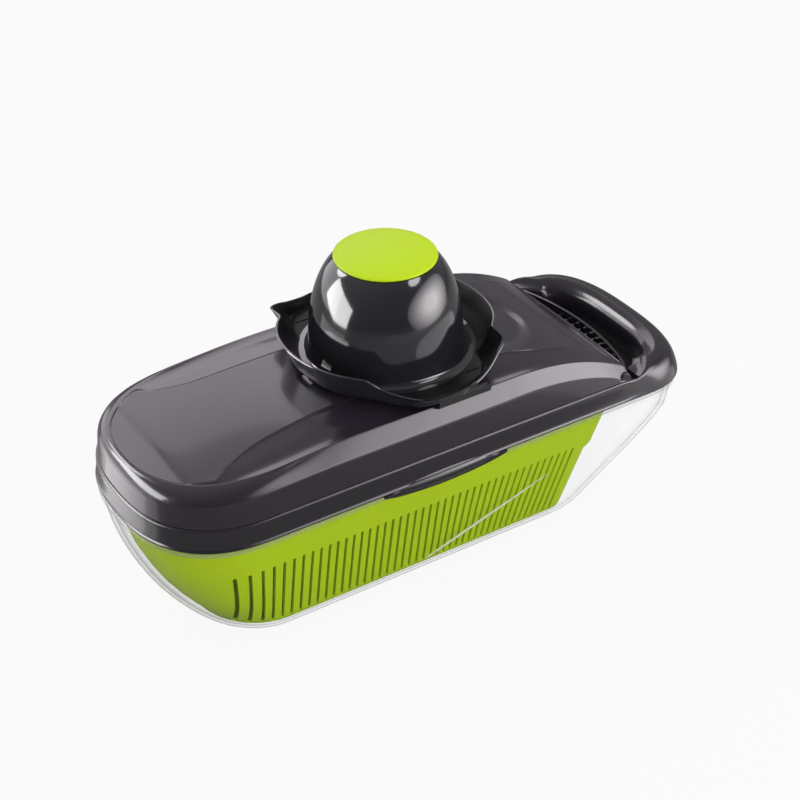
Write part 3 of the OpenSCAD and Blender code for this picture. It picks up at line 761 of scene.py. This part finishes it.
# Sections of the frame's ring, as (distance in from its outline, height), and the curve at each
# corner: the plain rail, the flat ledge behind the hinge and the rounded bar of the handle
SKIRT = [(0.8, 82.9), (0, 83.7), (0.8, 85), (1.1, 90), (1.3, 95.3), (1.9, 96), (4, 96), (6, 96),
         (6.7, 95.2), (6.9, 87), (6.9, 79), (5.3, 79), (5.3, 82.9)]
SKIRT_CUTS = [0.3, 0.7, 0.5, 2, 0.4, 0.4, 0.5, 0.4, 0.4, 2, 0.4, 0.4, 0.4]
LEDGE = [(0.8, 82.9), (0, 83.7), (0.8, 86), (1.1, 90.5), (1.4, 94.2), (2.2, 95.2), (6, 95.2),
         (12, 95.2), (13.4, 94.4), (13.8, 87), (13.8, 79), (5.3, 79), (5.3, 82.9)]
BAR = [(0.8, 82.9), (0, 83.7), (0.7, 87), (2.6, 92.4), (6, 96.6), (10.5, 98.2), (14.8, 97.6),
       (18.2, 94.8), (20.2, 90.5), (21, 85), (20.4, 77), (5.3, 79), (5.3, 82.9)]
BAR_CUTS = [0.3, 0.7, 1.4, 3, 3, 3, 3, 3, 3, 3, 0.8, 0.4, 0.4]
# Where each change of section starts, from the nose, and over what length it runs
LEDGE_RUN, BAR_RUN, SHOULDER_RUN = (268, 9), (278, 18), (277.5, 9)
# The lip in front of the handle is part of a circle
LIP_X, LIP_R = NOSE_X + 148, 140
DECK_Z, DECK_T = 88.5, 2.5
BAY_HALF = 47
BAYS = ((NOSE_X + 30, NOSE_X + 166), (NOSE_X + 172, NOSE_X + 262))
# The round pocket for the hinge: its radius, the height of its floor and its arc
POCKET_R, POCKET_FLOOR, POCKET_ARC = 9.4, 92.6, (-0.416, 2.05)
# Spans across one side, from the middle line outwards
POCKET_Y, EAR_Y, HOLE_Y, ARM_Y, BOSS_Y = (54, 59.4), (55.2, 58.9), (50, 59.3), (50.3, 54.1), (58.95, 59.38)
EAR_R = 3.8
# The closed well under the handle: its inset from the frame, its floor's two faces and its top
WELL_INSET, WELL_FLOOR, WELL_TOP, LIP_WALL = 19, (77.6, 78.8), 86.2, 1.4


def frame_loops(places):
    """Loops of the frame's ring: the plain rail widens to a flat ledge behind the hinge, and a
    curved shoulder leads up to the rounded handle."""
    skirt, ledge, bar = rounded(SKIRT, SKIRT_CUTS), rounded(LEDGE, SKIRT_CUTS), rounded(BAR, BAR_CUTS)
    run = [outline_point(FRAME_OUTLINE, s)[0] - NOSE_X for s in places]
    loops = []
    for a, e, b in zip(skirt, ledge, bar):
        half = []
        for s, u in zip(places, run):
            wide = smooth((u - LEDGE_RUN[0]) / LEDGE_RUN[1])
            d, z = mix(a[0], e[0], wide), mix(a[1], e[1], wide)
            d = mix(d, b[0], smooth((u - BAR_RUN[0]) / BAR_RUN[1]))
            late = 0.8 * max(0, d - 2)
            z = mix(z, b[1], smooth((u - SHOULDER_RUN[0] - late) / SHOULDER_RUN[1]))
            half.append((*outline_point(inset(FRAME_OUTLINE, d), s), z))
        loops.append(whole(half))
    return loops


def lip_at(y):
    """Where the curved lip in front of the handle lies."""
    return LIP_X + sqrt(LIP_R**2 - y * y)


def deck_shape(places):
    """The floor of the frame as one plate that ends at the curved lip."""
    loop = [outline_point(inset(FRAME_OUTLINE, 6.2), s) for s in places]
    loop = [(min(x, lip_at(y)), y) for x, y in loop]
    shape = Shape()
    shape.slab(loop + [(x, -y) for x, y in loop[-2:0:-1]], DECK_Z - DECK_T, DECK_Z)
    return shape


class SLICER_OT_frame(bpy.types.Operator):
    """Builds the cutter frame: its skirt, deck, hinge ears, side grips and handle"""

    bl_idname = "slicer.cutter_frame"
    bl_label = "Cutter frame"

    def execute(self, context):
        places = stations(40, 110, 60)
        shape = Shape()
        shape.skin(frame_loops(places), around=True)
        skirt = piece("cutter_frame_skirt", shape)
        pocket = Shape()
        pocket.rod(HINGE, "y", POCKET_R, -55, 55, 96)
        arc = [mix(*POCKET_ARC, i / 24) for i in range(25)]
        ring = [(HINGE_X - 4.4, POCKET_FLOOR)]
        ring += [(HINGE_X + POCKET_R * cos(a), HINGE_Z + POCKET_R * sin(a)) for a in arc]
        for side in (-1, 1):
            pocket.solid([[(x, y, z) for x, z in ring] for y in on_side(side, POCKET_Y)])
        cut_with(skirt, pocket)
        holes = Shape()
        for side in (-1, 1):
            holes.rod(HINGE, "y", 2.07, *on_side(side, HOLE_Y))
        deck = piece("cutter_frame_deck", deck_shape(stations(24, 10, 16)))
        bays = Shape()
        for x0, x1 in BAYS:
            bays.block((x0, -BAY_HALF, DECK_Z - 1), (x1, BAY_HALF, DECK_Z + 4))
            bays.block((x0 + 2.5, -BAY_HALF + 2.5, DECK_Z - DECK_T - 1),
                       (x1 - 2.5, BAY_HALF - 2.5, DECK_Z + 1))
        cut_with(deck, bays)
        place(skirt, "frame", "frame", finish("frame"), "cutter_frame", sharp=50)
        place(deck, "frame", "frame", finish("frame"))
        fittings = Shape()
        for side in (-1, 1):
            y0, y1 = on_side(side, EAR_Y)
            fittings.rod(HINGE, "y", EAR_R, y0, y1, 48, cut=0.3)
            fittings.block((HINGE_X - EAR_R, y0, DECK_Z + 2), (HINGE_X + EAR_R, y1, HINGE_Z))
        ears = piece("hinge_ears", fittings)
        cut_with(ears, holes)
        place(ears, "frame", "frame", finish("frame"))
        self.grips()
        self.rear_lip()
        self.well()
        return {"FINISHED"}

    def grips(self):
        """The long finger grips on both sides of the skirt."""
        shape = Shape()
        length, middle, radius, height, n, m = 78, NOSE_X + 155, 4.6, 82.5, 48, 20
        face, rail_foot, flat_foot = -HALF_W + 3.2, 82.9, 77.9
        for side in (-1, 1):
            loops = []
            for i in range(1, n):
                x = middle + length * (i / n - 0.5)
                r = radius * sin(pi * i / n) ** 0.6
                loop = []
                for j in range(m + 1):
                    a = pi * j / m
                    z = height - r * cos(a)
                    y = face - r * sin(a)
                    if z < rail_foot:
                        y = min(y, -HALF_W + 0.3)
                    loop.append((x, -side * min(y, face), max(z, flat_foot)))
                loops.append(loop)
            shape.solid(loops)
        obj = piece("side_grips", shape)
        place(obj, "frame", "frame", finish("frame"), sharp=60)

    def well(self):
        """The closed well under the handle: its floor and the wall below the lip, in the darker finish
        that paints shade into the opening.
        """
        outline = inset(FRAME_OUTLINE, WELL_INSET)
        tail, reach, half, power = outline[4:]
        ys = [mix(-half + 0.5, half - 0.5, i / 48) for i in range(49)]
        front = [(lip_at(y), y) for y in ys]
        back = [(tail - reach * (1 - (1 - abs(y / half) ** power) ** (1 / power)), y) for y in ys]
        shape = Shape()
        shape.slab(front + back[::-1], *WELL_FLOOR)
        shape.slab(front + [(x - LIP_WALL, y) for x, y in front[::-1]], WELL_FLOOR[0], WELL_TOP)
        obj = piece("handle_well", shape)
        place(obj, "frame", "frame", finish("tray"))

    def rear_lip(self):
        """The upright lip under the back of the lid, with its row of teeth."""
        shape = Shape()
        outer = [(lip_at(y), y) for y in (mix(-46, 46, i / 48) for i in range(49))]
        shape.slab(outer + [(x - LIP_WALL, y) for x, y in outer[::-1]], 86, 96)
        lip = piece("rear_lip", shape)
        place(lip, "frame", "frame", finish("frame"))
        seed = new_object("rear_teeth", bpy.data.meshes.new("rear_teeth"))
        teeth = seed.modifiers.new("Teeth", "NODES")
        teeth.node_group = row_tree("tooth_row", "Y")
        set_inputs(teeth, {"Count": 13, "Pitch": 6 * MM, "Size": (6.5 * MM, 1.2 * MM, 4 * MM),
                           "Start": ((NOSE_X + 282.25) * MM, -36 * MM, (DECK_Z + 1.5) * MM),
                           "Finish": finish("frame")})
        baked(seed)
        place(seed, "frame", "frame", finish("frame"))


def row_tree(name, axis):
    """A row of equal blocks, for teeth."""
    tree = bpy.data.node_groups.new(name, "GeometryNodeTree")
    face = tree.interface
    face.new_socket("Count", in_out="INPUT", socket_type="NodeSocketInt").default_value = 5
    face.new_socket("Pitch", in_out="INPUT", socket_type="NodeSocketFloat").default_value = 0.006
    face.new_socket("Size", in_out="INPUT", socket_type="NodeSocketVector")
    face.new_socket("Start", in_out="INPUT", socket_type="NodeSocketVector")
    face.new_socket("Finish", in_out="INPUT", socket_type="NodeSocketMaterial")
    face.new_socket("Geometry", in_out="OUTPUT", socket_type="NodeSocketGeometry")
    nodes = Nodes(tree)
    inputs = nodes.add("NodeGroupInput").outputs
    step = nodes.add("ShaderNodeCombineXYZ", {axis: inputs["Pitch"]})
    line = nodes.add("GeometryNodeMeshLine",
                     {"Count": inputs["Count"], "Start Location": inputs["Start"],
                      "Offset": step.outputs[0]}, mode="OFFSET")
    block = nodes.add("GeometryNodeMeshCube", {"Size": inputs["Size"]})
    copies = nodes.add("GeometryNodeInstanceOnPoints",
                       {"Points": line.outputs[0], "Instance": block.outputs[0]})
    real = nodes.add("GeometryNodeRealizeInstances", {0: copies.outputs[0]})
    painted = nodes.add("GeometryNodeSetMaterial",
                        {"Geometry": real.outputs[0], "Material": inputs["Finish"]})
    nodes.add("NodeGroupOutput", {"Geometry": painted.outputs[0]})
    return tree


# ------------------------------------------------------------------ lid

WALL_OUTLINE = (NOSE_X + 2.4, 55, HALF_W - 1.9, 2.5, NOSE_X + LID_TAIL - 0.4, 3, HALF_W - 1.9, 6)
RIDGE_OUTLINE = (NOSE_X + 7, 66, 53.4, 2.3, NOSE_X + LID_TAIL - 0.4, 3, 54.4, 6)
# Half the width of the crown, by the distance from the nose
CROWN_HALF = [(7, 60), (30, 48), (45, 38), (60, 32.4), (75, 30.3), (105, 28.2), (150, 28), (205, 34),
          (220, 38), (235, 40), (260, 44), (275, 50)]


# Steps up the bevel from the wall to the ridge, and across from the ridge to the crown
BEVEL_STEPS = (0, 0.12, 0.25, 0.4, 0.55, 0.7, 0.82, 0.92, 1)
CROWN_STEPS = (0.06, 0.14, 0.24, 0.36, 0.5, 0.64, 0.78, 0.9, 0.97, 1)
# The round dish behind the guard: its middle, radius, depth and the width of its edge
DISH_X, DISH_R, DISH_DEPTH, DISH_EDGE = NOSE_X + 207, 36.5, 1.9, 9.0


def ridge_height(u):
    """Height of the side ridges at a distance from the nose. They rise from the nose and fall
    towards the hinge."""
    if u < 112:
        return RIDGE_Z - 2.95 * (1 - cos(pi * min(1, (112 - u) / 105)))
    return RIDGE_Z if u < 200 else RIDGE_Z - 18.5 * ((u - 200) / 72) ** 2.25


def crown_height(u):
    """How far the crown stands above the ridges."""
    return CROWN * sin(pi * clamp01((u - 22) / (LID_TAIL - 22))) ** 0.6


def lid_top(u):
    return ridge_height(u) + crown_height(u)


def wall_height(u):
    """Height at which the wall turns into the bevel below the ridges."""
    return max(LID_FOOT + 0.6, ridge_height(u) - mix(9.3, 6, clamp01((u - 200) / 75)))


def lid_point(o, s):
    """Point of an outline of the lid, whose rear edge bows out a little."""
    x, y = outline_point(o, s)
    return (x + 2.4 * max(0.0, 1 - (y / 50) ** 2), y) if s > 2 else (x, y)


def soften(line, index, cut):
    """Replaces one point of a line by a small curve."""
    a, p, b = line[index - 1:index + 2]
    return line[:index] + corner_curve(a, p, b, cut, 4, 0.45) + line[index + 1:]


def lid_line(s, d):
    """The lid's section at one station from the foot of its wall up to the crease of its crown,
    moved in and down by d."""
    wall, ridge = inset(WALL_OUTLINE, 0.7 + d), inset(RIDGE_OUTLINE, d)
    a, b = lid_point(wall, s), lid_point(ridge, s)
    u = b[0] - NOSE_X
    foot = lid_point(inset(WALL_OUTLINE, d), s)
    # The bevel is round at the nose and flat from 100 mm on
    round_share = 1 - smooth((u - 30) / 70)
    line = [(*foot, LID_FOOT)]
    for k in BEVEL_STEPS:
        across = mix(k, 1 - cos(pi / 2 * k), round_share)
        up = mix(k, sin(pi / 2 * k), round_share)
        z = mix(wall_height(u), ridge_height(u), up) - d
        line.append((mix(a[0], b[0], across), mix(a[1], b[1], across), max(LID_FOOT + 0.2, z)))
    q = lid_point(inset(RIDGE_OUTLINE, d + 0.8), s)
    half = min(-q[1], eased(u, CROWN_HALF))
    top = lid_top(u) - d
    for k in CROWN_STEPS:
        # A shallow valley lies inside the ridge, and a small step runs along the crown's edge
        valley = 0.5 * smooth((u - 35) / 30) * sin(pi * clamp01(k / 0.5)) * smooth((235 - u) / 40)
        y = mix(b[1], -half, k)
        z = mix(ridge_height(u) - d, top - 0.25, k**1.25) - valley
        z -= 0.45 * smooth((u - 40) / 20) * smooth((245 - u) / 12) * (0 if k == 1 else k)
        line.append((mix(b[0], q[0], k), y, max(LID_FOOT + 0.2, z)))
    line = soften(line, len(BEVEL_STEPS), 1.8 - round_share * 0.6)
    line = soften(line, 1, 1.3)
    return line


def dish_drop(x, y):
    """Depth of the round dish behind the guard."""
    return DISH_DEPTH * smooth((DISH_R - hypot(x - DISH_X, y)) / DISH_EDGE)


def lid_swell(y):
    """The slight rise of the lid's crown towards its middle line."""
    return 0.25 * (1 - (y / 40) ** 2) if abs(y) < 40 else 0


class SLICER_OT_lid(bpy.types.Operator):
    """Builds the hinged press lid with its ridges, crown and dish"""

    bl_idname = "slicer.lid"
    bl_label = "Press lid"

    def execute(self, context):
        places = stations(44, 170, 16)
        shape = Shape()
        outer = [lid_line(s, 0) for s in places]
        inner = [lid_line(s, sizes()["lid_wall"]) for s in places]
        outer_loops = [whole(list(half)) for half in zip(*outer)]
        inner_loops = [whole(list(half)) for half in zip(*inner)]
        shape.skin(outer_loops)
        shape.close_across(outer_loops[-1], rows=56,
                           height=lambda x, y, z: z + lid_swell(y) - dish_drop(x, y))
        shape.skin([outer_loops[0], inner_loops[0]])
        shape.skin(inner_loops)
        shape.close_across(inner_loops[-1], rows=56,
                           height=lambda x, y, z: z - dish_drop(x, y) * 0.9)
        shell = piece("press_lid", shape)
        place(shell, "lid", "lid", finish("lid"), "lid_shell", sharp=44)
        fittings = Shape()
        dice_mid = sum(BAYS[0]) / 2
        for x in (dice_mid - 45, dice_mid + 45):
            for y in (-24, 24):
                fittings.rod((x, y), "z", 4, 114.5, lid_top(x - NOSE_X) - 1.2, 40, cut=0.2)
                fittings.rod((x, y), "z", 2, 112.5, 115.5, 32)
        for side in (-1, 1):
            y0, y1 = on_side(side, ARM_Y)
            fittings.rod(HINGE, "y", 3.9, y0, y1, 48, cut=0.3)
            fittings.rod(HINGE, "y", 3.6, *on_side(side, BOSS_Y), 48, cut=0.15)
            fittings.block((HINGE_X - 10, y0, LID_FOOT + 0.4), (HINGE_X, y1, LID_FOOT + 3.6))
        arms = piece("lid_fittings", fittings)
        place(arms, "lid", "lid", finish("lid"))
        return {"FINISHED"}


# ------------------------------------------------------------------ hand guard

DOME_FOOT, DOME_H, DOME_POWER, DOME_TOP = TRAY_FLOOR + 1, 62, 2.6, 178
TRAY_R, TRAY_RIM, DOME_R, BORE_R = 56.5, 140.5, 40, 6.07
# Slits in the tray's floor as (x from its middle, y), half their length and their width
SLITS, SLIT_HALF, SLIT_WIDTH = ((6, -48), (24, -44)), 4, 0.9
# Openings at both ends of the tray's floor: from and to along x, and half their width
OPENING_X, OPENING_HALF = (-53, -45), 6
# What the tray's rim adds to its radius and how far it drops, by the angle from +X in degrees
RIM_RADIUS = [(0, 0), (20, -0.1), (47, -0.2), (52, -1), (56, -1.5), (62, -0.7), (68, 1), (76, 4),
              (90, 4.6), (107, 4.8), (124, 5.1), (130, 5.7), (134, 5), (138, 1.5), (142, -1.2),
              (150, -0.5), (160, 0.3), (180, 0)]
RIM_DROP = [(0, 0), (30, 0), (47, 0), (52, 3), (56, 6), (62, 8.2), (68, 9.5), (76, 10.5), (88, 10.5),
            (100, 10.5), (107, 10), (116, 7.5), (124, 4), (130, 2), (134, 1), (142, 0), (160, 0),
            (180, 0)]
# The share of the spout in the tray's foot, by the same angle
LOBE = [(0, 0), (50, 0), (62, 1), (118, 1), (140, 0), (180, 0)]


def rim_radius(a):
    return TRAY_R + eased(a % 180, RIM_RADIUS)


def rim_z(a):
    return TRAY_RIM - eased(a % 180, RIM_DROP)


def foot_radius(a):
    """Radius of the foot of the tray's wall."""
    return mix(49, rim_radius(a) - 3.6, lookup(a % 180, LOBE))


def dome_radius(z, d):
    """Radius of the dome at a height, moved in by a distance."""
    k = clamp01((z - DOME_FOOT) / (DOME_H - d))
    return (DOME_R - d) * (1 - k**DOME_POWER) ** (1 / DOME_POWER)


class SLICER_OT_guard(bpy.types.Operator):
    """Builds the hand guard: its dome, spouted tray and runners"""

    bl_idname = "slicer.guard"
    bl_label = "Hand guard"

    def execute(self, context):
        n = 240
        angles = [360 * i / n for i in range(n)]

        def loop(radius, height):
            return [
                (GUARD_X + radius(a) * cos(radians(a)), radius(a) * sin(radians(a)), height(a))
                for a in angles
            ]

        def wall(out, k):
            """A loop k of the way up the tray's wall, out from its outer face."""
            return loop(
                lambda a: mix(foot_radius(a), rim_radius(a), k) + out,
                lambda a: mix(TRAY_FLOOR, rim_z(a), k),
            )

        floor_top = TRAY_FLOOR + 2
        loops = [loop(lambda a: 39, lambda a: TRAY_FLOOR)]
        loops += [loop(lambda a, d=d: foot_radius(a) - d, lambda a: TRAY_FLOOR) for d in (4, 1)]
        loops += [wall(0, k) for k in (0.06, 0.3, 0.6, 0.9)]
        loops += [loop(lambda a, d=d: rim_radius(a) - d, lambda a, h=h: rim_z(a) - h)
                  for d, h in ((0.05, 0.5), (0.3, 0.12), (0.8, 0), (1.3, 0.12), (1.6, 0.5))]
        loops += [wall(-1.7, k) for k in (0.9, 0.6, 0.35)]
        loops += [loop(lambda a, d=d: foot_radius(a) - d, lambda a, h=h: floor_top + h)
                  for d, h in ((1.7, 1.6), (2.2, 0.7), (3.2, 0.1), (5, 0))]
        loops += [loop(lambda a, r=r: r, lambda a: floor_top) for r in (42, 40.5, 39)]
        tray = Shape()
        tray.skin(loops, around=True)
        tray_obj = piece("guard_tray", tray)
        slots = Shape()
        for turn in (1, -1):
            for dx, y in SLITS:
                x0, x1 = on_side(turn, (dx - SLIT_HALF, dx + SLIT_HALF))
                y0, y1 = on_side(turn, (y, y + SLIT_WIDTH))
                slots.block((GUARD_X + x0, y0, TRAY_FLOOR - 1), (GUARD_X + x1, y1, floor_top + 1))
            x0, x1 = on_side(turn, OPENING_X)
            slots.block((GUARD_X + x0, -OPENING_HALF, TRAY_FLOOR - 1),
                        (GUARD_X + x1, OPENING_HALF, floor_top + 1))
        cut_with(tray_obj, slots)
        place(tray_obj, "guard", "guard", finish("guard"), "guard_body", sharp=40)

        # The tray's inner faces take the darker finish: painted shade for the deep shade inside the tray
        def inside(c, n):
            out = Vector((c.x - GUARD_X, c.y)).normalized()
            return c.z > TRAY_FLOOR + 1 and (n.xy.dot(out) < -0.3 or (n.z > 0.5 and c.z < 130))

        paint(tray_obj, finish("tray"), inside)
        self.dome()
        self.runners()
        return {"FINISHED"}

    def dome(self):
        floor_top = TRAY_FLOOR + 2
        wall = sizes()["dome_wall"]
        foot = [(DOME_R + 5.5, TRAY_FLOOR + 1), (DOME_R + 5.5, floor_top),
                (DOME_R + 3.2, floor_top + 0.15), (DOME_R + 1.7, floor_top + 0.6),
                (DOME_R + 0.7, floor_top + 1.5), (DOME_R + 0.15, floor_top + 3)]
        steps = 34
        outer = []
        for i in range(2, steps + 1):
            z = mix(DOME_FOOT, DOME_TOP, sin(pi / 2 * i / steps))
            outer.append((dome_radius(z, 0), z))
        inner_top = DOME_TOP - wall
        inner = []
        for i in range(steps, -1, -1):
            z = mix(TRAY_FLOOR + 0.2, inner_top, sin(pi / 2 * i / steps))
            inner.append((dome_radius(z, wall), z))
        top = [(BORE_R + 0.4, DOME_TOP), (BORE_R, DOME_TOP - 0.4), (BORE_R, DOME_TOP - 8.6),
               (BORE_R + 0.4, DOME_TOP - 9), (8.7, DOME_TOP - 9), (9, DOME_TOP - 8.7), (9, inner_top)]
        shape = Shape()
        shape.turn(foot + outer + top + inner, (GUARD_X, 0))
        obj = piece("guard_dome", shape)
        place(obj, "guard", "guard", finish("guard"), sharp=40)

    def runners(self):
        """The two runners under the tray that hook round the lid's ridges."""
        shape = Shape()
        section = rounded([(-54.4, TRAY_FLOOR + 1), (-54.4, 120.4), (-55.6, 119.4), (-57.2, 120.6),
                           (-57.6, TRAY_FLOOR + 1)], 0.5)
        for turn in (1, -1):
            x0, x1 = GUARD_X - turn * 5, GUARD_X + turn * 26
            shape.solid([[(x, turn * y, z) for y, z in section] for x in (x0, x1)])
        obj = piece("guard_runners", shape)
        place(obj, "guard", "guard", finish("guard"))


class SLICER_OT_plunger(bpy.types.Operator):
    """Builds the plunger's cap"""

    bl_idname = "slicer.plunger"
    bl_label = "Plunger"

    def execute(self, context):
        cap_r, z0, t, crown = sizes()["cap"], DOME_TOP + 0.3, 1.6, 2.2
        profile = [(0.001, z0 + 1.8), (5.98, z0 + 1.8), (6, z0 + 1.6), (6, z0 + 0.2), (6.2, z0)]
        profile += [(cap_r - 1.2, z0), (cap_r - 0.5, z0 + 0.15), (cap_r - 0.1, z0 + 0.5),
                    (cap_r, z0 + 0.9), (cap_r - 0.12, z0 + 1.25), (cap_r - 0.5, z0 + 1.62)]
        for i in range(16, -1, -1):
            r = (cap_r - 1.4) * i / 16
            profile.append((max(0.001, r), z0 + t + crown * (1 - (r / cap_r) ** 2) * 0.995))
        shape = Shape()
        shape.turn(profile, (GUARD_X, 0))
        cap = piece("plunger_cap", shape)
        place(cap, "plunger", "cap", finish("cap"), "guard_cap", sharp=50)
        return {"FINISHED"}


class SLICER_OT_inner_parts(bpy.types.Operator):
    """Gives the blades, inserts, pins and combs their finishes"""

    bl_idname = "slicer.inner_parts"
    bl_label = "Inserts and blades"

    FINISHES = {
        "dicing_insert": "frame", "slicing_insert": "frame", "pusher_grid": "frame",
        "cleaning_grid": "basket", "hinge_pin_near": "lid", "hinge_pin_far": "lid",
        "long_blades": "steel", "cross_blades": "steel", "slicing_blade": "steel",
        "blade_rivets": "steel", "food_spikes": "steel", "stem_screw": "steel",
        "plunger_stem": "cap", "spike_plate": "guard",
    }

    def execute(self, context):
        for node, name in self.FINISHES.items():
            obj = frame["nodes"][node]
            obj.data.materials.clear()
            obj.data.materials.append(finish(name))
        return {"FINISHED"}


# ------------------------------------------------------------------ stage


LIT_FROM = Vector((0, 0, 0.12))


def softbox(name, turn, rise, distance, width, height, roll, radiance, tint, counts):
    """A soft oval or oblong lamp aimed at the slicer from a turn and a rise in degrees."""
    a, e = radians(turn), radians(rise)
    lamp = bpy.data.lights.new(name, "AREA")
    lamp.shape = "RECTANGLE" if name.startswith("left") else "ELLIPSE"
    lamp.size = 2 * distance * tan(radians(width / 2))
    lamp.size_y = 2 * distance * tan(radians(height / 2))
    share = 1 if lamp.shape == "RECTANGLE" else pi / 4
    lamp.energy = radiance * pi * lamp.size * lamp.size_y * share
    lamp.color = tint
    obj = bpy.data.objects.new(name, lamp)
    obj.location = LIT_FROM + distance * Vector((cos(e) * cos(a), cos(e) * sin(a), sin(e)))
    aim = (LIT_FROM - obj.location).to_track_quat("-Z", "Y")
    obj.rotation_euler = (aim @ Quaternion((0, 0, 1), radians(roll))).to_euler()
    obj.visible_diffuse = counts != "shine"
    obj.visible_glossy = counts != "fill"
    obj.visible_camera = False
    bpy.context.scene.collection.objects.link(obj)


class SLICER_OT_stage(bpy.types.Operator):
    """Sets the camera, the soft lamps, the world and the pale floor"""

    bl_idname = "slicer.stage"
    bl_label = "Stage"

    # Name, turn from +X and rise in degrees, distance, width and height in degrees, roll,
    # radiance, tint, and where it counts: "both", "shine" (reflections) or "fill" (soft light)
    LAMPS = (
        ("left_key", 158, 7, 0.9, 50, 28, -18, 1.4, (1, 0.99, 1), "both"),
        ("left_shine", 158, 7, 0.92, 50, 28, -18, 8.2, (1, 0.99, 1), "shine"),
        ("left_glow", 126, 2, 1.1, 66, 44, 0, 1.6, (1, 0.97, 1), "shine"),
        ("left_low", 158, -20, 0.26, 44, 28, 0, 0.9, (1, 0.96, 1), "shine"),
        ("left_low_middle", 158, -20, 0.265, 28, 14, 0, 1.3, (1, 0.96, 1), "shine"),
        ("back_left_shine", 124, 36, 1.1, 28, 26, 0, 10.0, (1, 0.97, 1), "shine"),
        ("right_key", -46, 10, 1.0, 84, 44, 0, 1.2, (1, 0.96, 0.99), "both"),
        *((f"right_shine_{i}", -46, 10, 1 + i / 100, width, height, 0, radiance, (1, 0.96, 0.99), "shine")
          for i, (width, height, radiance) in enumerate(
              ((73, 39, 0.9), (62, 34, 1.1), (51, 28, 1.2), (40, 22, 1.4), (28, 16, 1.4)), 1)),
        ("right_low", -44, -20, 0.3, 72, 30, 0, 0.9, (1, 0.95, 1), "shine"),
        ("edge_shine", -51, 46, 1.0, 24, 14, 0, 7.0, (1, 0.98, 1), "shine"),
        ("back_panel", 76, 30, 1.2, 50, 24, 0, 2.0, (1, 0.89, 1), "both"),
        ("front_fill", -100, 20, 1.2, 70, 40, 0, 1.6, (1, 0.99, 0.99), "fill"),
        ("top_fill", -60, 80, 1.2, 60, 60, 0, 1.0, (1, 0.99, 0.99), "fill"),
    )

    def execute(self, context):
        scene = context.scene
        scene.view_settings.view_transform = "Standard"
        lens = bpy.data.cameras.new("camera")
        lens.sensor_width = 36
        lens.lens = 81.66
        lens.clip_end = 20
        camera = bpy.data.objects.new("camera", lens)
        target = Vector((3.69, 0, 88.26)) * MM
        azimuth, elevation, distance = radians(-32.85), radians(34.29), 0.9583
        back = Vector((sin(azimuth) * cos(elevation), -cos(azimuth) * cos(elevation), sin(elevation)))
        camera.location = target + back * distance
        camera.rotation_euler = (-back).to_track_quat("-Z", "Y").to_euler()
        scene.collection.objects.link(camera)
        scene.camera = camera
        self.world(scene)
        self.floor()
        for row in self.LAMPS:
            softbox(*row)
        return {"FINISHED"}

    def world(self, scene):
        """A grey studio for the reflections behind a white background for the camera."""
        world = bpy.data.worlds.new("studio")
        world.use_nodes = True
        world.node_tree.nodes.clear()
        nodes = Nodes(world.node_tree)
        where = nodes.add("ShaderNodeTexCoord").outputs["Generated"]
        parts = nodes.add("ShaderNodeSeparateXYZ", {0: where})
        sky = nodes.ramp(parts.outputs["Z"], (0.5, 0.49, 0.51), (1, 0.98, 1), (0, 0.8))
        front = nodes.add("ShaderNodeMapRange", {"Value": parts.outputs["Y"]}, in_From_Min=-0.9,
                          in_From_Max=0.3, in_To_Min=0.12, in_To_Max=0.45)
        room = nodes.add("ShaderNodeBackground", {"Color": sky, "Strength": front.outputs["Result"]})
        white = nodes.add("ShaderNodeBackground", in_Strength=1.0, in_Color=(1, 1, 1, 1))
        seen = nodes.add("ShaderNodeLightPath").outputs["Is Camera Ray"]
        nodes.surface(nodes.blend(seen, room.outputs[0], white.outputs[0]), "World")
        scene.world = world

    def floor(self):
        """A pale round floor that takes a soft shadow and reads almost white."""
        n = 64
        shape = Shape()
        shape.skin([[(x, y, -0.05) for x, y in circle(r, n)] for r in (1, 400, 4000)])
        shape.faces.append(tuple(range(n)))
        obj = piece("floor", shape)
        material, nodes = new_material("pale_floor")
        diffuse = nodes.add("ShaderNodeBsdfDiffuse", in_Color=(0.35, 0.35, 0.35, 1))
        glow = nodes.add("ShaderNodeEmission", in_Strength=1.08, in_Color=(1, 1, 1, 1))
        seen = nodes.add("ShaderNodeLightPath").outputs["Is Camera Ray"]
        share = nodes.add("ShaderNodeMath", {0: seen}, operation="MULTIPLY")
        share.inputs[1].default_value = 0.85
        nodes.surface(nodes.blend(share.outputs[0], diffuse.outputs[0], glow.outputs[0]))
        obj.data.materials.append(material)


# ------------------------------------------------------------------ panel and registration

STEPS = (
    SLICER_OT_container,
    SLICER_OT_basket,
    SLICER_OT_frame,
    SLICER_OT_lid,
    SLICER_OT_guard,
    SLICER_OT_plunger,
    SLICER_OT_inner_parts,
    SLICER_OT_stage,
)


class SLICER_PT_panel(bpy.types.Panel):
    """Lists the slicer's sizes, colours and build steps"""

    bl_label = "Mandoline slicer"
    bl_idname = "SLICER_PT_panel"
    bl_space_type = "VIEW_3D"
    bl_region_type = "UI"
    bl_category = "Slicer"

    def draw(self, context):
        for group in (context.scene.slicer_sizes, context.scene.slicer_colours):
            column = self.layout.column()
            for key in type(group).__annotations__:
                column.prop(group, key)
        for step in STEPS:
            self.layout.operator(step.bl_idname)


CLASSES = (SlicerSizes, SlicerColours, *STEPS, SLICER_PT_panel)


def register():
    for cls in CLASSES:
        bpy.utils.register_class(cls)
    bpy.types.Scene.slicer_sizes = bpy.props.PointerProperty(type=SlicerSizes)
    bpy.types.Scene.slicer_colours = bpy.props.PointerProperty(type=SlicerColours)


def unregister():
    del bpy.types.Scene.slicer_colours
    del bpy.types.Scene.slicer_sizes
    for cls in reversed(CLASSES):
        bpy.utils.unregister_class(cls)


def main():
    register()
    for step in STEPS:
        group, name = step.bl_idname.split(".")
        getattr(getattr(bpy.ops, group), name)()


if __name__ == "__main__":
    main()
